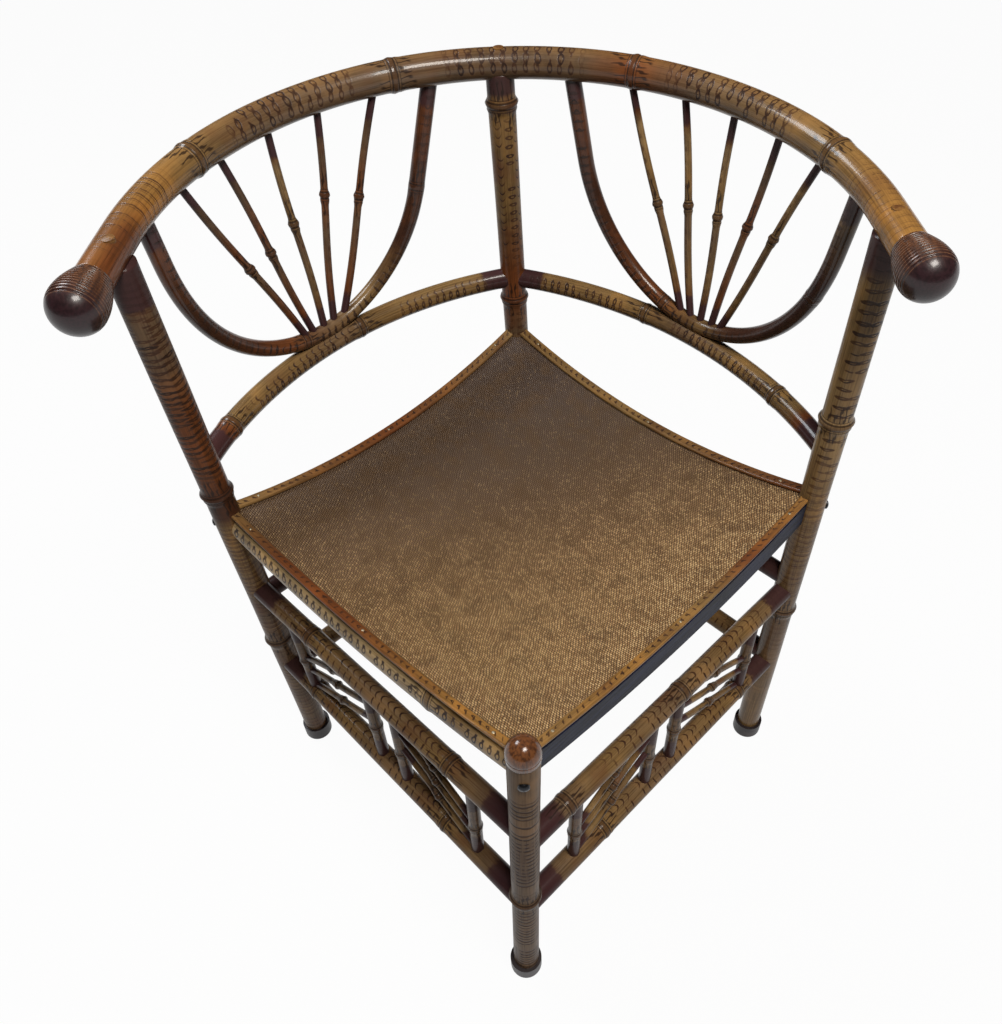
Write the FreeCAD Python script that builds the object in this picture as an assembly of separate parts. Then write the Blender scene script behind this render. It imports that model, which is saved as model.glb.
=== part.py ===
import FreeCAD, Part
import math
import os

from FreeCAD import Placement, Rotation, Vector

# A corner chair of bent and scorched bamboo: a square seat stands on its corner, with a leg under each
# corner, and one round arm rail joins the two side legs and the back leg. Sizes are in millimetres.
# The floor is z = 0, +Z is up, and the chair faces -Y.

# Heights of the seat frame and of the arm rail's axis over the floor
SEAT_HEIGHT = 431.0
ARM_HEIGHT = 705.5
# How much higher the arm rail runs at the back leg than beside the sitter
ARM_BACK_RISE = 14.2

# Distance from the middle of the seat to the side and back legs, and to the front leg, at seat height
LEG_REACH = 280.0
FRONT_REACH = 269.5
LEG_DIAMETER = 26.5
# How far each foot stands off the point under its seat corner, because the legs were set by eye
FOOT_DRIFT = {
    "front": (-7.8, -12.0),
    "left": (8.6, 10.7),
    "right": (-1.6, -3.0),
    "back": (10.1, -1.8),
}
# Places of the bamboo's nodes up each leg, as shares of its length
LEG_NODES = {
    "front": (0.42,),
    "left": (0.306, 0.648),
    "right": (0.362, 0.743),
    "back": (0.311, 0.656, 0.96),
}
# A node is a ring that stands out of the stem by a share of its radius
NODE_SWELL = 0.1
LEG_SWELL = 0.22
NODE_HALF_HEIGHT = 5.0
# A long leg's coped top ends this share of the arm rail's diameter under the rail's axis
COPE_SHARE = 0.25

FERRULE_DIAMETER = 33.0
FERRULE_HEIGHT = 22.0
FERRULE_SOLE = 4.0
FERRULE_ROUNDING = 4.0

# The turned cap on the front leg
CAP_DIAMETER = 28.5
CAP_RIM = 6.0
CAP_DOME = 15.0
CAP_LIFT = 3.0
CAP_SPIGOT_DIAMETER = 14.0
CAP_SPIGOT_LENGTH = 14.0

ARM_DIAMETER = 28.0
# The arm rail's circle runs this far outside the legs, and its middle is set off the seat's middle
ARM_OUTSET = 5.5
ARM_SHIFT = (-3.5, -4.5)
# The arms flare out by this angle, and each reaches this far in front of the circle's middle
ARM_FLARE = 4.9
ARM_FORWARD = {"left": 34.0, "right": 24.5}
# Places of the arm rail's nodes, in degrees round its circle from the chair's right
ARM_NODES = (33.0, 74.0, 106.0, 147.0)

# A knob on the end of each arm: a bulb that swells from the rail to a ball
KNOB_DIAMETER = 41.4
KNOB_NECK = 28.0
KNOB_LIP = 0.6
# A point that the bulb's outline passes: shares of its length and of its swelling
KNOB_SHOULDER_PLACE = 0.3
KNOB_SHOULDER = 0.45

PLUG_DIAMETER = 10.0
PLUG_DEPTH = 22.0
PLUG_PROUD = 0.8

# The low bent rails of the back: how far their axes lie over the seat frame at each leg, and how far
# they bow out
LOW_BACK_RISE = {"left": 59.5, "right": 49.5, "back": 62.0}
LOW_BACK_DIAMETER = {"left": 21.5, "right": 20.4}
LOW_BACK_BULGE = {"left": 56.5, "right": 51.8}
LOW_BACK_NODES = {"left": (0.12, 0.56), "right": (0.2, 0.62)}

# The hoops: half ellipses that stand on the low rails, with their middles this far under the arm rail.
# At these turns short of the half ellipse, at its end on the chair's left and on its right, the stem runs
# on straight into the arm rail.
HOOP_DROP = {"left": 45.0, "right": 36.5}
HOOP_TURNS = {"left": (0.0, 0.3), "right": (0.2, 0.14)}
HOOP_DIAMETER = 15.6
HOOP_HALF_WIDTH = 151.0
HOOP_LEAN = {"left": -4.2, "right": -5.3}
HOOP_SEAT = 4.0
HOOP_CENTRE = {"left": 138.1, "right": 44.4}
HOOP_SPANS = 6

STICK_DIAMETER = 7.2
STICK_SWELL = 0.6
# Where each stick in a hoop meets the arm rail and the hoop, from the one beside the back leg: degrees
# round the arm rail's circle, and the share of its length where its node is
STICK_TOPS = {"left": (114.0, 125.6, 136.5, 148.0, 158.6), "right": (66.3, 55.4, 44.7, 34.2, 23.5)}
STICK_FEET = {"left": (131.7, 134.4, 137.0, 139.7, 141.7), "right": (47.3, 44.8, 42.3, 39.5, 37.4)}
STICK_NODES = {"left": (0.52, 0.58, 0.52, 0.46, 0.46), "right": (0.47, 0.5, 0.5, 0.52, 0.54)}
# How deep a stick, hoop or stile is let into the piece that carries it
LET_IN = 4.0
STICK_LET_IN = 3.0

# The seat dishes: each edge hangs in a shallow curve between its two corners
BACK_SAG = 31.0
FRONT_SAG = 20.0
# How far the seat's outer faces stand outside the lines that join the legs
BACK_OVERHANG = 3.6
FRONT_OVERHANG = 1.6
TRIM_WIDTH = 9.5
TRIM_THICKNESS = 4.0
MAT_THICKNESS = 1.6
MAT_INSET = 5.0
BOARD_THICKNESS = 5.0
SEAT_RAIL_THICKNESS = 22.0
SEAT_RAIL_HEIGHT = 27.0
BATTEN_WIDTH = 14.0
BATTEN_HEIGHT = 12.0
BLOCK_REACH = 52.0
BLOCK_NOSE = 30.0
BLOCK_HEIGHT = 14.0
# Glue line between the seat's curved layers, and the room round the soft matting
GLUE_LINE = 0.2
MAT_ROOM = 0.3
# Points that carry a layer's curved surface: along and across a strip, and along a batten and a block
SEAT_STEPS = 12
STRIP_STEPS = 2
BATTEN_STEPS = 8
BLOCK_STEPS = 3

# The half-round facing on the front left seat rail: part of a thick stem, split and set on edge
FACING_DIAMETER = 38.0
FACING_DEPTH = 8.0
FACING_INSET = 2.4
# How far its top lies under the trim at the side leg, half way and at the front leg
FACING_DROP = (3.0, 2.5, 3.0)

# How far the bolts lie under the seat frame's height
BOLT_DROP = 19.0
BOLT_DIAMETER = 5.0
BOLT_TIP_ROOM = 0.5
BOLT_HEAD_DIAMETER = 9.5
BOLT_HEAD_HEIGHT = 3.2

PIN_DIAMETER = 1.6
PIN_HEAD_DIAMETER = 3.0
PIN_HEAD_HEIGHT = 0.7
PIN_BITE = 6.0
PIN_PLACES = (0.09, 0.5, 0.91)

# Rails between the legs: axis heights, diameters and node places from the side leg
UPPER_RAIL_DIAMETER = 21.0
LOWER_RAIL_DIAMETER = 22.5
UPPER_RAIL_HEIGHT = {"front_left": 308.0, "front_right": 287.0, "back_left": 292.0, "back_right": 300.0}
LOWER_RAIL_HEIGHT = {"front_left": 170.0, "front_right": 158.0, "back_left": 157.0, "back_right": 164.0}
UPPER_RAIL_NODES = {
    "front_left": (0.245, 0.767),
    "front_right": (0.46, 0.87),
    "back_left": (0.33, 0.81),
    "back_right": (0.28, 0.74),
}
LOWER_RAIL_NODES = {
    "front_left": (0.16, 0.72),
    "front_right": (0.16, 0.73),
    "back_left": (0.25, 0.79),
    "back_right": (0.31, 0.82),
}

# Four stiles stand in each front side, at these shares of the way from the side leg to the front leg
STILE_DIAMETER = 12.5
STILE_PLACES = (0.146, 0.455, 0.558, 0.831)
STILE_NODES = (0.42, 0.46, 0.44, 0.4)
STILE_SWELL = 0.2
# The slanted sticks between stiles 1 and 2, by the share of the height where each starts and ends.
# Those between stiles 3 and 4 are the mirror image.
BAY_STICK_DIAMETER = 6.6
BAY_STICKS = ((0.45, 1.0), (0.28, 0.76), (0.06, 0.54))

DOWEL_DIAMETER = 7.0
DOWEL_START = 5.0
DOWEL_LENGTH = 26.0
KNOB_DOWEL_DIAMETER = 12.0
KNOB_DOWEL_BITE = 7.5
KNOB_DOWEL_LENGTH = 30.0

# Each side is named for where it lies, with its side leg first
SIDES = {
    "front_left": ("left", "front"),
    "front_right": ("right", "front"),
    "back_left": ("left", "back"),
    "back_right": ("right", "back"),
}
FRONT_SIDES = ("front_left", "front_right")
SEAT_CORNER = {
    "front": Vector(0, -FRONT_REACH, SEAT_HEIGHT),
    "left": Vector(-LEG_REACH, 0, SEAT_HEIGHT),
    "right": Vector(LEG_REACH, 0, SEAT_HEIGHT),
    "back": Vector(0, LEG_REACH, SEAT_HEIGHT),
}
UP = Vector(0, 0, 1)

arm_radius = LEG_REACH + ARM_OUTSET
arm_centre = Vector(ARM_SHIFT[0], ARM_SHIFT[1], ARM_HEIGHT)
arm_tilt = math.degrees(math.atan2(ARM_BACK_RISE, arm_radius))
bolt_height = SEAT_HEIGHT - BOLT_DROP


def leg_axis(leg, z):
    """The point of a leg's axis at height z: its seat corner, moved along its lean."""
    along = 1 - z / SEAT_HEIGHT
    drift = FOOT_DRIFT[leg]
    corner = SEAT_CORNER[leg]
    return Vector(corner.x + drift[0] * along, corner.y + drift[1] * along, z)


def line(a, b):
    return Part.LineSegment(a, b).toShape()


def arc(a, b, c):
    return Part.Arc(a, b, c).toShape()


def dome(radius, base, height):
    """Half of a dome's outline: an arc about the axis, from its rim at base to its top."""
    sphere = (radius ** 2 + height ** 2) / (2 * height)
    half_turn = math.atan2(radius, sphere - height) / 2
    middle = Vector(sphere * math.sin(half_turn), 0, base + height - sphere * (1 - math.cos(half_turn)))
    return arc(Vector(radius, 0, base), middle, Vector(0, 0, base + height))


def turned(edges, start, end):
    """A piece turned about its own axis: an outline in x (radius) and z (length), set from start to end."""
    body = Part.Face(Part.Wire(edges)).revolve(Vector(0, 0, 0), UP, 360)
    body.Placement = Placement(start, Rotation(UP, end - start))
    return body


def rod(start, end, diameter):
    """A plain round rod between two points."""
    along = end - start
    return Part.makeCylinder(diameter / 2, along.Length, start, along)


def culm(start, end, diameter, nodes, swell=NODE_SWELL):
    """A straight bamboo stem: a rod whose outline swells in a small arc at each node."""
    length = (end - start).Length
    radius = diameter / 2
    crest = radius * (1 + swell)
    edges = []
    reached = Vector(radius, 0, 0)
    for share in nodes:
        middle = share * length
        foot = Vector(radius, 0, middle - NODE_HALF_HEIGHT)
        head = Vector(radius, 0, middle + NODE_HALF_HEIGHT)
        edges.append(line(reached, foot))
        edges.append(arc(foot, Vector(crest, 0, middle), head))
        reached = head
    top = Vector(radius, 0, length)
    edges.append(line(reached, top))
    edges.append(line(top, Vector(0, 0, length)))
    edges.append(line(Vector(0, 0, length), Vector(0, 0, 0)))
    edges.append(line(Vector(0, 0, 0), Vector(radius, 0, 0)))
    return turned(edges, start, end)


def node_ring(middle, along, diameter):
    """The ring of a node on a bent stem: a lens turned about the stem, whose rim stands out of it."""
    radius = diameter / 2
    half = Vector(along)
    half.normalize()
    half.multiply(NODE_HALF_HEIGHT)
    inner = radius * (1 - NODE_SWELL / 2)
    length = 2 * NODE_HALF_HEIGHT
    foot = Vector(inner, 0, 0)
    head = Vector(inner, 0, length)
    edges = [
        arc(foot, Vector(radius * (1 + NODE_SWELL), 0, NODE_HALF_HEIGHT), head),
        line(head, Vector(0, 0, length)),
        line(Vector(0, 0, length), Vector(0, 0, 0)),
        line(Vector(0, 0, 0), foot),
    ]
    return turned(edges, middle - half, middle + half)


def bent_rod(start, middle, end, diameter):
    """A rod bent to the arc through three points: a disc turned about the arc's centre."""
    curve = Part.ArcOfCircle(start, middle, end)
    circle = Part.Circle(start, curve.tangent(curve.FirstParameter)[0], diameter / 2)
    disc = Part.Face(Part.Wire(circle.toShape()))
    sweep = math.degrees(curve.LastParameter - curve.FirstParameter)
    return disc.revolve(curve.Center, curve.Axis, sweep)


def arc_between(start, corner, end):
    """The arc that leaves start towards corner and reaches end from corner, both at the same distance."""
    middle = (start + end) * 0.5
    rise = corner - middle
    half_chord = (end - start).Length / 2
    half_turn = math.atan2(rise.Length, half_chord)
    top = middle + rise * (half_chord * math.tan(half_turn / 2) / rise.Length)
    return arc(start, top, end)


def two_arcs(start, heading, end, arrival):
    """Two tangent arcs from start, leaving along heading, to end, arriving along arrival."""
    span = end - start
    both = heading + arrival
    open_angle = 2 * (1 - heading.dot(arrival))
    reach = span.dot(both)
    reach = (math.sqrt(reach * reach + open_angle * span.dot(span)) - reach) / open_angle
    first = start + heading * reach
    second = end - arrival * reach
    joint = (first + second) * 0.5
    return [arc_between(start, first, joint), arc_between(joint, second, end)]


def swept(points, headings, diameter):
    """A round stem along points, as a pipe on tangent arcs that leave each point along its heading."""
    edges = []
    for i in range(len(points) - 1):
        edges += two_arcs(points[i], headings[i], points[i + 1], headings[i + 1])
    circle = Part.Circle(points[0], headings[0], diameter / 2)
    return Part.Wire(edges).makePipeShell([Part.Wire(circle.toShape())], True, False)


def arm_point(angle):
    """The point of the arm rail's axis at an angle round its circle, which tips up towards the back."""
    flat = Vector(arm_radius * math.cos(angle), arm_radius * math.sin(angle), 0)
    return arm_centre + Rotation(Vector(1, 0, 0), arm_tilt).multVec(flat)


def arm_heading(angle):
    flat = Vector(-math.sin(angle), math.cos(angle), 0)
    return Rotation(Vector(1, 0, 0), arm_tilt).multVec(flat)


def arm_end(side):
    """Where an arm ends, at its knob, and the way that it points there."""
    flare = math.radians(ARM_FLARE)
    angle = flare if side == "right" else math.pi - flare
    heading = arm_heading(angle) * (-1 if side == "right" else 1)
    start = arm_point(angle)
    run = (start.y - arm_centre.y + ARM_FORWARD[side]) / math.cos(flare)
    return start + heading * run, heading


def make_arm_rail():
    """One thick stem, bent round the back, with a short straight run to each knob."""
    flare = math.radians(ARM_FLARE)
    rail = bent_rod(arm_point(flare), arm_point(math.pi / 2), arm_point(math.pi - flare), ARM_DIAMETER)
    for side, angle in (("right", flare), ("left", math.pi - flare)):
        end, heading = arm_end(side)
        rail = rail.fuse(rod(arm_point(angle), end, ARM_DIAMETER))
    for degrees in ARM_NODES:
        angle = math.radians(degrees)
        rail = rail.fuse(node_ring(arm_point(angle), arm_heading(angle), ARM_DIAMETER))
    return rail


def make_knob(side):
    """A turned bulb: its outline swells in one arc from the rail's end, then rounds over in another."""
    start, heading = arm_end(side)
    neck = ARM_DIAMETER / 2 + KNOB_LIP
    ball = KNOB_DIAMETER / 2
    length = KNOB_NECK + ball
    shoulder = Vector(neck + (ball - neck) * KNOB_SHOULDER, 0, KNOB_NECK * KNOB_SHOULDER_PLACE)
    edges = [
        line(Vector(0, 0, 0), Vector(neck, 0, 0)),
        arc(Vector(neck, 0, 0), shoulder, Vector(ball, 0, KNOB_NECK)),
        dome(ball, KNOB_NECK, ball),
        line(Vector(0, 0, length), Vector(0, 0, 0)),
    ]
    return turned(edges, start, start + heading)


def low_back_curve(leg):
    """Start, middle and end of a low back rail's axis: it bows outwards between two legs."""
    start = leg_axis(leg, SEAT_HEIGHT + LOW_BACK_RISE[leg])
    end = leg_axis("back", SEAT_HEIGHT + LOW_BACK_RISE["back"])
    chord = end - start
    outwards = Vector(-chord.y, chord.x, 0)
    outwards.normalize()
    if leg == "right":
        outwards = outwards * -1
    middle = (start + end) * 0.5 + outwards * LOW_BACK_BULGE[leg]
    return start, middle, end


def make_low_back_rail(leg):
    curve = low_back_curve(leg)
    diameter = LOW_BACK_DIAMETER[leg]
    rail = bent_rod(*curve, diameter)
    path = Part.ArcOfCircle(*curve)
    for share in LOW_BACK_NODES[leg]:
        place = path.FirstParameter + share * (path.LastParameter - path.FirstParameter)
        rail = rail.fuse(node_ring(path.value(place), path.tangent(place)[0], diameter))
    return rail


def low_back_point(leg, angle):
    """The point of a low back rail's axis that lies at an angle round the arm rail's middle."""
    start, middle, end = low_back_curve(leg)
    path = Part.ArcOfCircle(start, middle, end)
    ray = Vector(math.cos(angle), math.sin(angle), 0)
    offset = Vector(arm_centre.x - path.Center.x, arm_centre.y - path.Center.y, 0)
    ahead = offset.dot(ray)
    reach = math.sqrt(ahead * ahead - offset.dot(offset) + path.Radius ** 2) - ahead
    plan = Vector(arm_centre.x, arm_centre.y, 0) + ray * reach
    chord = Vector(end.x - start.x, end.y - start.y, 0)
    share = (plan - Vector(start.x, start.y, 0)).dot(chord) / chord.dot(chord)
    return plan + UP * (start.z + (end.z - start.z) * share)


def back_point(leg, angle, z):
    """The point of the back at an angle and a height: on the straight line from low rail to arm rail."""
    low = low_back_point(leg, angle)
    high = arm_point(angle)
    return low + (high - low) * ((z - low.z) / (high.z - low.z))


def hoop_point(leg, turn):
    """A point of a hoop's axis: its half ellipse laid on the back, turn running from 0 to half a circle."""
    centre = math.radians(HOOP_CENTRE[leg])
    foot = low_back_point(leg, centre).z + (LOW_BACK_DIAMETER[leg] + HOOP_DIAMETER) / 2 - HOOP_SEAT
    spring = ARM_HEIGHT - HOOP_DROP[leg]
    across = HOOP_HALF_WIDTH * math.cos(turn) + HOOP_LEAN[leg] * math.sin(turn)
    z = spring - (spring - foot) * math.sin(turn)
    return back_point(leg, centre + across / arm_radius, z)


def hoop_turn(leg, angle):
    """The turn at which a hoop lies at an angle round the back, which undoes hoop_point."""
    across = (angle - math.radians(HOOP_CENTRE[leg])) * arm_radius
    widest = math.hypot(HOOP_HALF_WIDTH, HOOP_LEAN[leg])
    return math.atan2(HOOP_LEAN[leg], HOOP_HALF_WIDTH) + math.acos(across / widest)


def make_hoop(leg):
    """A U of thin stem: its ends are let into the arm rail, its foot sits on the low rail."""
    def heading_at(turn):
        step = 0.001
        heading = hoop_point(leg, turn + step) - hoop_point(leg, turn - step)
        heading.normalize()
        return heading

    points = []
    headings = []
    first, last = HOOP_TURNS[leg]
    for i in range(HOOP_SPANS + 1):
        turn = first + (math.pi - first - last) * i / HOOP_SPANS
        points.append(hoop_point(leg, turn))
        headings.append(heading_at(turn))
    hoop = swept(points, headings, HOOP_DIAMETER)
    for place, way in ((0, -1), (-1, 1)):
        angle = math.atan2(points[place].y - arm_centre.y, points[place].x - arm_centre.x)
        top = arm_point(angle)
        rise = top.z - ARM_DIAMETER / 2 + LET_IN - points[place].z
        heading = headings[place] * way
        hoop = hoop.fuse(rod(points[place], points[place] + heading * (rise / heading.z), HOOP_DIAMETER))
    return hoop.removeSplitter()


def make_back_stick(leg, number):
    """A thin stem in a hoop, one of a fan: it is let into the hoop and the arm rail."""
    top = arm_point(math.radians(STICK_TOPS[leg][number]))
    foot = hoop_point(leg, hoop_turn(leg, math.radians(STICK_FEET[leg][number])))
    along = top - foot
    along.normalize()
    start = foot + along * (HOOP_DIAMETER / 2 - STICK_LET_IN)
    end = top - along * (ARM_DIAMETER / 2 - LET_IN)
    return culm(start, end, STICK_DIAMETER, (STICK_NODES[leg][number],), STICK_SWELL)


def seat_point(u, v, lift):
    """A point of the dished seat: u runs from the left leg to the front leg, v from the left to the back.

    The plan is blended between the four corners. The height is what each pair of opposite hanging edges
    would give, added together.
    """
    left, front = SEAT_CORNER["left"], SEAT_CORNER["front"]
    right, back = SEAT_CORNER["right"], SEAT_CORNER["back"]
    plan = left * ((1 - u) * (1 - v)) + front * (u * (1 - v)) + right * (u * v) + back * ((1 - u) * v)
    hang_u = 4 * u * (1 - u)
    hang_v = 4 * v * (1 - v)
    sag = hang_u * ((1 - v) * FRONT_SAG + v * BACK_SAG) + hang_v * ((1 - u) * BACK_SAG + u * FRONT_SAG)
    return Vector(plan.x, plan.y, SEAT_HEIGHT - sag + lift)


side_length = (SEAT_CORNER["left"] - SEAT_CORNER["back"]).Length


def from_end(distance, end):
    """A share of the seat's side, given as a distance from its end 0 or its end 1."""
    share = distance / side_length
    return share if end == 0 else 1 - share


def seat_layer(corners, lift, thickness, steps):
    """A layer that follows the seat's surface, over four corners.

    A corner is (du, end_u, dv, end_v): its distance in millimetres from a line through two legs, and
    which of the two opposite lines that is, along u and along v.
    """
    places = [(from_end(du, end_u), from_end(dv, end_v)) for du, end_u, dv, end_v in corners]
    grid = []
    for i in range(steps[0] + 1):
        row = []
        for j in range(steps[1] + 1):
            a, b = i / steps[0], j / steps[1]
            weights = ((1 - a) * (1 - b), a * (1 - b), a * b, (1 - a) * b)
            u = sum(weight * place[0] for weight, place in zip(weights, places))
            v = sum(weight * place[1] for weight, place in zip(weights, places))
            row.append(seat_point(u, v, lift))
        grid.append(row)
    surface = Part.BSplineSurface()
    surface.interpolate(grid)
    return surface.toShape().extrude(Vector(0, 0, -thickness))


def strip_corners(side, near, far, end_near, end_far):
    """The corners of a strip along one side, from near to far of the legs' line, with both ends set in."""
    end = 1 if side in ("back_right", "front_right") else 0
    strip = [(end_near, 0, near, end), (end_near, 1, near, end),
             (end_far, 1, far, end), (end_far, 0, far, end)]
    if side in ("back_left", "front_right"):
        strip = [(dv, end_v, du, end_u) for du, end_u, dv, end_v in strip]
    return strip


def overhang(side):
    return FRONT_OVERHANG if side in FRONT_SIDES else BACK_OVERHANG


def mitred_strip(side, near, far, lift, thickness):
    """A strip of the seat along one side, cut at both ends beside the line to the seat's middle."""
    corners = strip_corners(side, near, far, near + GLUE_LINE, far + GLUE_LINE)
    steps = (SEAT_STEPS, STRIP_STEPS)
    if side in ("back_left", "front_right"):
        steps = (STRIP_STEPS, SEAT_STEPS)
    return seat_layer(corners, lift, thickness, steps)


mat_top = -TRIM_THICKNESS - MAT_ROOM
board_top = mat_top - MAT_THICKNESS - MAT_ROOM
batten_top = board_top - BOARD_THICKNESS - GLUE_LINE


def rail_face(side):
    """How far inside the legs' line a seat rail's outer face lies: the facing covers the front left one."""
    return FACING_INSET if side == "front_left" else -overhang(side)


def rail_inner(side):
    return SEAT_RAIL_THICKNESS - overhang(side)


def make_seat_rail(side):
    return mitred_strip(side, rail_face(side), rail_inner(side), board_top, SEAT_RAIL_HEIGHT)


def make_trim(side):
    return mitred_strip(side, -overhang(side), TRIM_WIDTH - overhang(side), 0.0, TRIM_THICKNESS)


def panel_corners(front_inset, back_inset):
    """The corners of a panel that is set in from the seat's front sides and from its back sides."""
    return [(back_inset, 0, front_inset, 0), (front_inset, 1, front_inset, 0),
            (front_inset, 1, back_inset, 1), (back_inset, 0, back_inset, 1)]


def pin_places():
    return [pin_place(side, share) for side in SIDES for share in PIN_PLACES]


def make_matting():
    """The woven sheet: it runs out under the trim strips, notched round the legs and holed for the pins."""
    corners = panel_corners(MAT_INSET - FRONT_OVERHANG, MAT_INSET - BACK_OVERHANG)
    mat = seat_layer(corners, mat_top, MAT_THICKNESS, (SEAT_STEPS, SEAT_STEPS))
    notches = [rod(leg_axis(leg, 0), leg_axis(leg, ARM_HEIGHT), LEG_DIAMETER + 2 * MAT_ROOM)
               for leg in SEAT_CORNER]
    holes = [rod(place - UP * TRIM_WIDTH, place, PIN_DIAMETER + 2 * MAT_ROOM) for place in pin_places()]
    return mat.cut(notches + holes)


def make_board():
    front = rail_inner("front_left") + GLUE_LINE
    back = rail_inner("back_left") + GLUE_LINE
    return seat_layer(panel_corners(front, back), board_top, BOARD_THICKNESS, (SEAT_STEPS, SEAT_STEPS))


def make_batten(side):
    """A strip glued inside a seat rail, under the board's edge, between two corner blocks."""
    near = rail_inner(side) + GLUE_LINE
    end = BLOCK_REACH + GLUE_LINE
    corners = strip_corners(side, near, near + BATTEN_WIDTH, end, end)
    return seat_layer(corners, batten_top, BATTEN_HEIGHT, (BATTEN_STEPS, STRIP_STEPS))


def make_corner_block(leg):
    """A kite-shaped block in the angle of two seat rails, under the board."""
    end_u, end_v = {"left": (0, 0), "front": (1, 0), "right": (1, 1), "back": (0, 1)}[leg]
    near_u = rail_inner("front_right" if end_u == 1 else "back_left") + GLUE_LINE
    near_v = rail_inner("back_right" if end_v == 1 else "front_left") + GLUE_LINE
    corners = [(near_u, end_u, near_v, end_v), (BLOCK_REACH, end_u, near_v, end_v),
               (near_u + BLOCK_NOSE, end_u, near_v + BLOCK_NOSE, end_v),
               (near_u, end_u, BLOCK_REACH, end_v)]
    return seat_layer(corners, batten_top, BLOCK_HEIGHT, (BLOCK_STEPS, BLOCK_STEPS))


def side_frame(side):
    """A side's start and end at seat height, and the way from it straight out of the chair."""
    start, end = (SEAT_CORNER[leg] for leg in SIDES[side])
    outwards = (end - start).cross(UP)
    outwards.normalize()
    if outwards.dot(start + end) < 0:
        outwards = outwards * -1
    return start, end, outwards


def make_facing():
    """A thick stem split along its length: it hangs in a shallow arc over the front left seat rail."""
    start, end, outwards = side_frame("front_left")
    inset = rail_face("front_left") + FACING_DIAMETER / 2 - FACING_DEPTH
    half_face = math.sqrt(FACING_DEPTH * (FACING_DIAMETER - FACING_DEPTH))
    under_trim = TRIM_THICKNESS + GLUE_LINE + half_face
    middle = (start + end) * 0.5 - UP * FRONT_SAG
    points = [point - outwards * inset - UP * (under_trim + drop)
              for point, drop in zip((start, middle, end), FACING_DROP)]
    stem = bent_rod(*points, FACING_DIAMETER)
    split = outwards * (GLUE_LINE - rail_face("front_left"))
    outer = outwards * FACING_DIAMETER
    plan = [start + split, end + split, end + outer, start + outer, start + split]
    keep = Part.Face(Part.makePolygon(plan)).extrude(Vector(0, 0, -SEAT_HEIGHT))
    return stem.common(keep)


def bolt_line(leg):
    """The point of a leg's axis where its bolt crosses it, and the way from there out of the chair."""
    centre = leg_axis(leg, bolt_height)
    outwards = Vector(SEAT_CORNER[leg].x, SEAT_CORNER[leg].y, 0)
    outwards.normalize()
    return centre, outwards


def make_bolt_shank(leg):
    """It ends inside the mitre of the two seat rails, short of the corner block."""
    centre, outwards = bolt_line(leg)
    reach = math.sqrt(2) * (SEAT_RAIL_THICKNESS - BACK_OVERHANG) - BOLT_TIP_ROOM
    return rod(centre - outwards * reach, centre + outwards * (LEG_DIAMETER / 2), BOLT_DIAMETER)


def make_bolt(leg):
    """A bolt with a domed head, which draws the leg to the mitred ends of two seat rails."""
    centre, outwards = bolt_line(leg)
    seat = centre + outwards * (LEG_DIAMETER / 2)
    radius = BOLT_HEAD_DIAMETER / 2
    skirt = BOLT_HEAD_HEIGHT / 3
    edges = [
        line(Vector(0, 0, -skirt), Vector(radius, 0, -skirt)),
        line(Vector(radius, 0, -skirt), Vector(radius, 0, skirt)),
        dome(radius, skirt, BOLT_HEAD_HEIGHT - skirt),
        line(Vector(0, 0, BOLT_HEAD_HEIGHT), Vector(0, 0, -skirt)),
    ]
    return make_bolt_shank(leg).fuse(turned(edges, seat, seat + outwards))


def pin_place(side, share):
    """Where a pin goes into the middle of a trim strip, at a share of the way along its side."""
    depth = TRIM_WIDTH / 2 - overhang(side)
    u, v = {
        "front_left": (share, from_end(depth, 0)),
        "back_right": (share, from_end(depth, 1)),
        "back_left": (from_end(depth, 0), share),
        "front_right": (from_end(depth, 1), share),
    }[side]
    return seat_point(u, v, 0.0)


def make_pin(side, share):
    """A headed pin down through a trim strip and the matting into the seat rail."""
    top = pin_place(side, share)
    shank = rod(top + UP * (board_top - PIN_BITE), top, PIN_DIAMETER)
    radius = PIN_HEAD_DIAMETER / 2
    sunk = PIN_HEAD_HEIGHT
    edges = [
        line(Vector(0, 0, -sunk), Vector(radius, 0, -sunk)),
        line(Vector(radius, 0, -sunk), Vector(radius, 0, 0)),
        dome(radius, 0, PIN_HEAD_HEIGHT),
        line(Vector(0, 0, PIN_HEAD_HEIGHT), Vector(0, 0, -sunk)),
    ]
    return shank.fuse(turned(edges, top, top + UP))


def make_side_rail(side, heights, diameter, nodes):
    """A straight stem from one leg's axis to the next, level, before its ends are coped."""
    start, end = (leg_axis(leg, heights[side]) for leg in SIDES[side])
    return culm(start, end, diameter, nodes[side])


def rail_ends(start, end):
    """Both ends of a straight stem, each with the way that it points into the stem."""
    along = end - start
    along.normalize()
    return [(start, along), (end, along * -1)]


def make_dowel(end, inwards):
    """A dowel that pins a rail's end to its leg: it starts beside the leg's axis."""
    start = end + inwards * DOWEL_START
    return rod(start, start + inwards * DOWEL_LENGTH, DOWEL_DIAMETER)


def stile_axis(side, place, z):
    """A point of a stile's axis at height z, in the upright plane between its two rails."""
    low = [leg_axis(leg, LOWER_RAIL_HEIGHT[side]) for leg in SIDES[side]]
    high = [leg_axis(leg, UPPER_RAIL_HEIGHT[side]) for leg in SIDES[side]]
    foot = low[0] + (low[1] - low[0]) * place
    head = high[0] + (high[1] - high[0]) * place
    return foot + (head - foot) * ((z - foot.z) / (head.z - foot.z))


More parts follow.
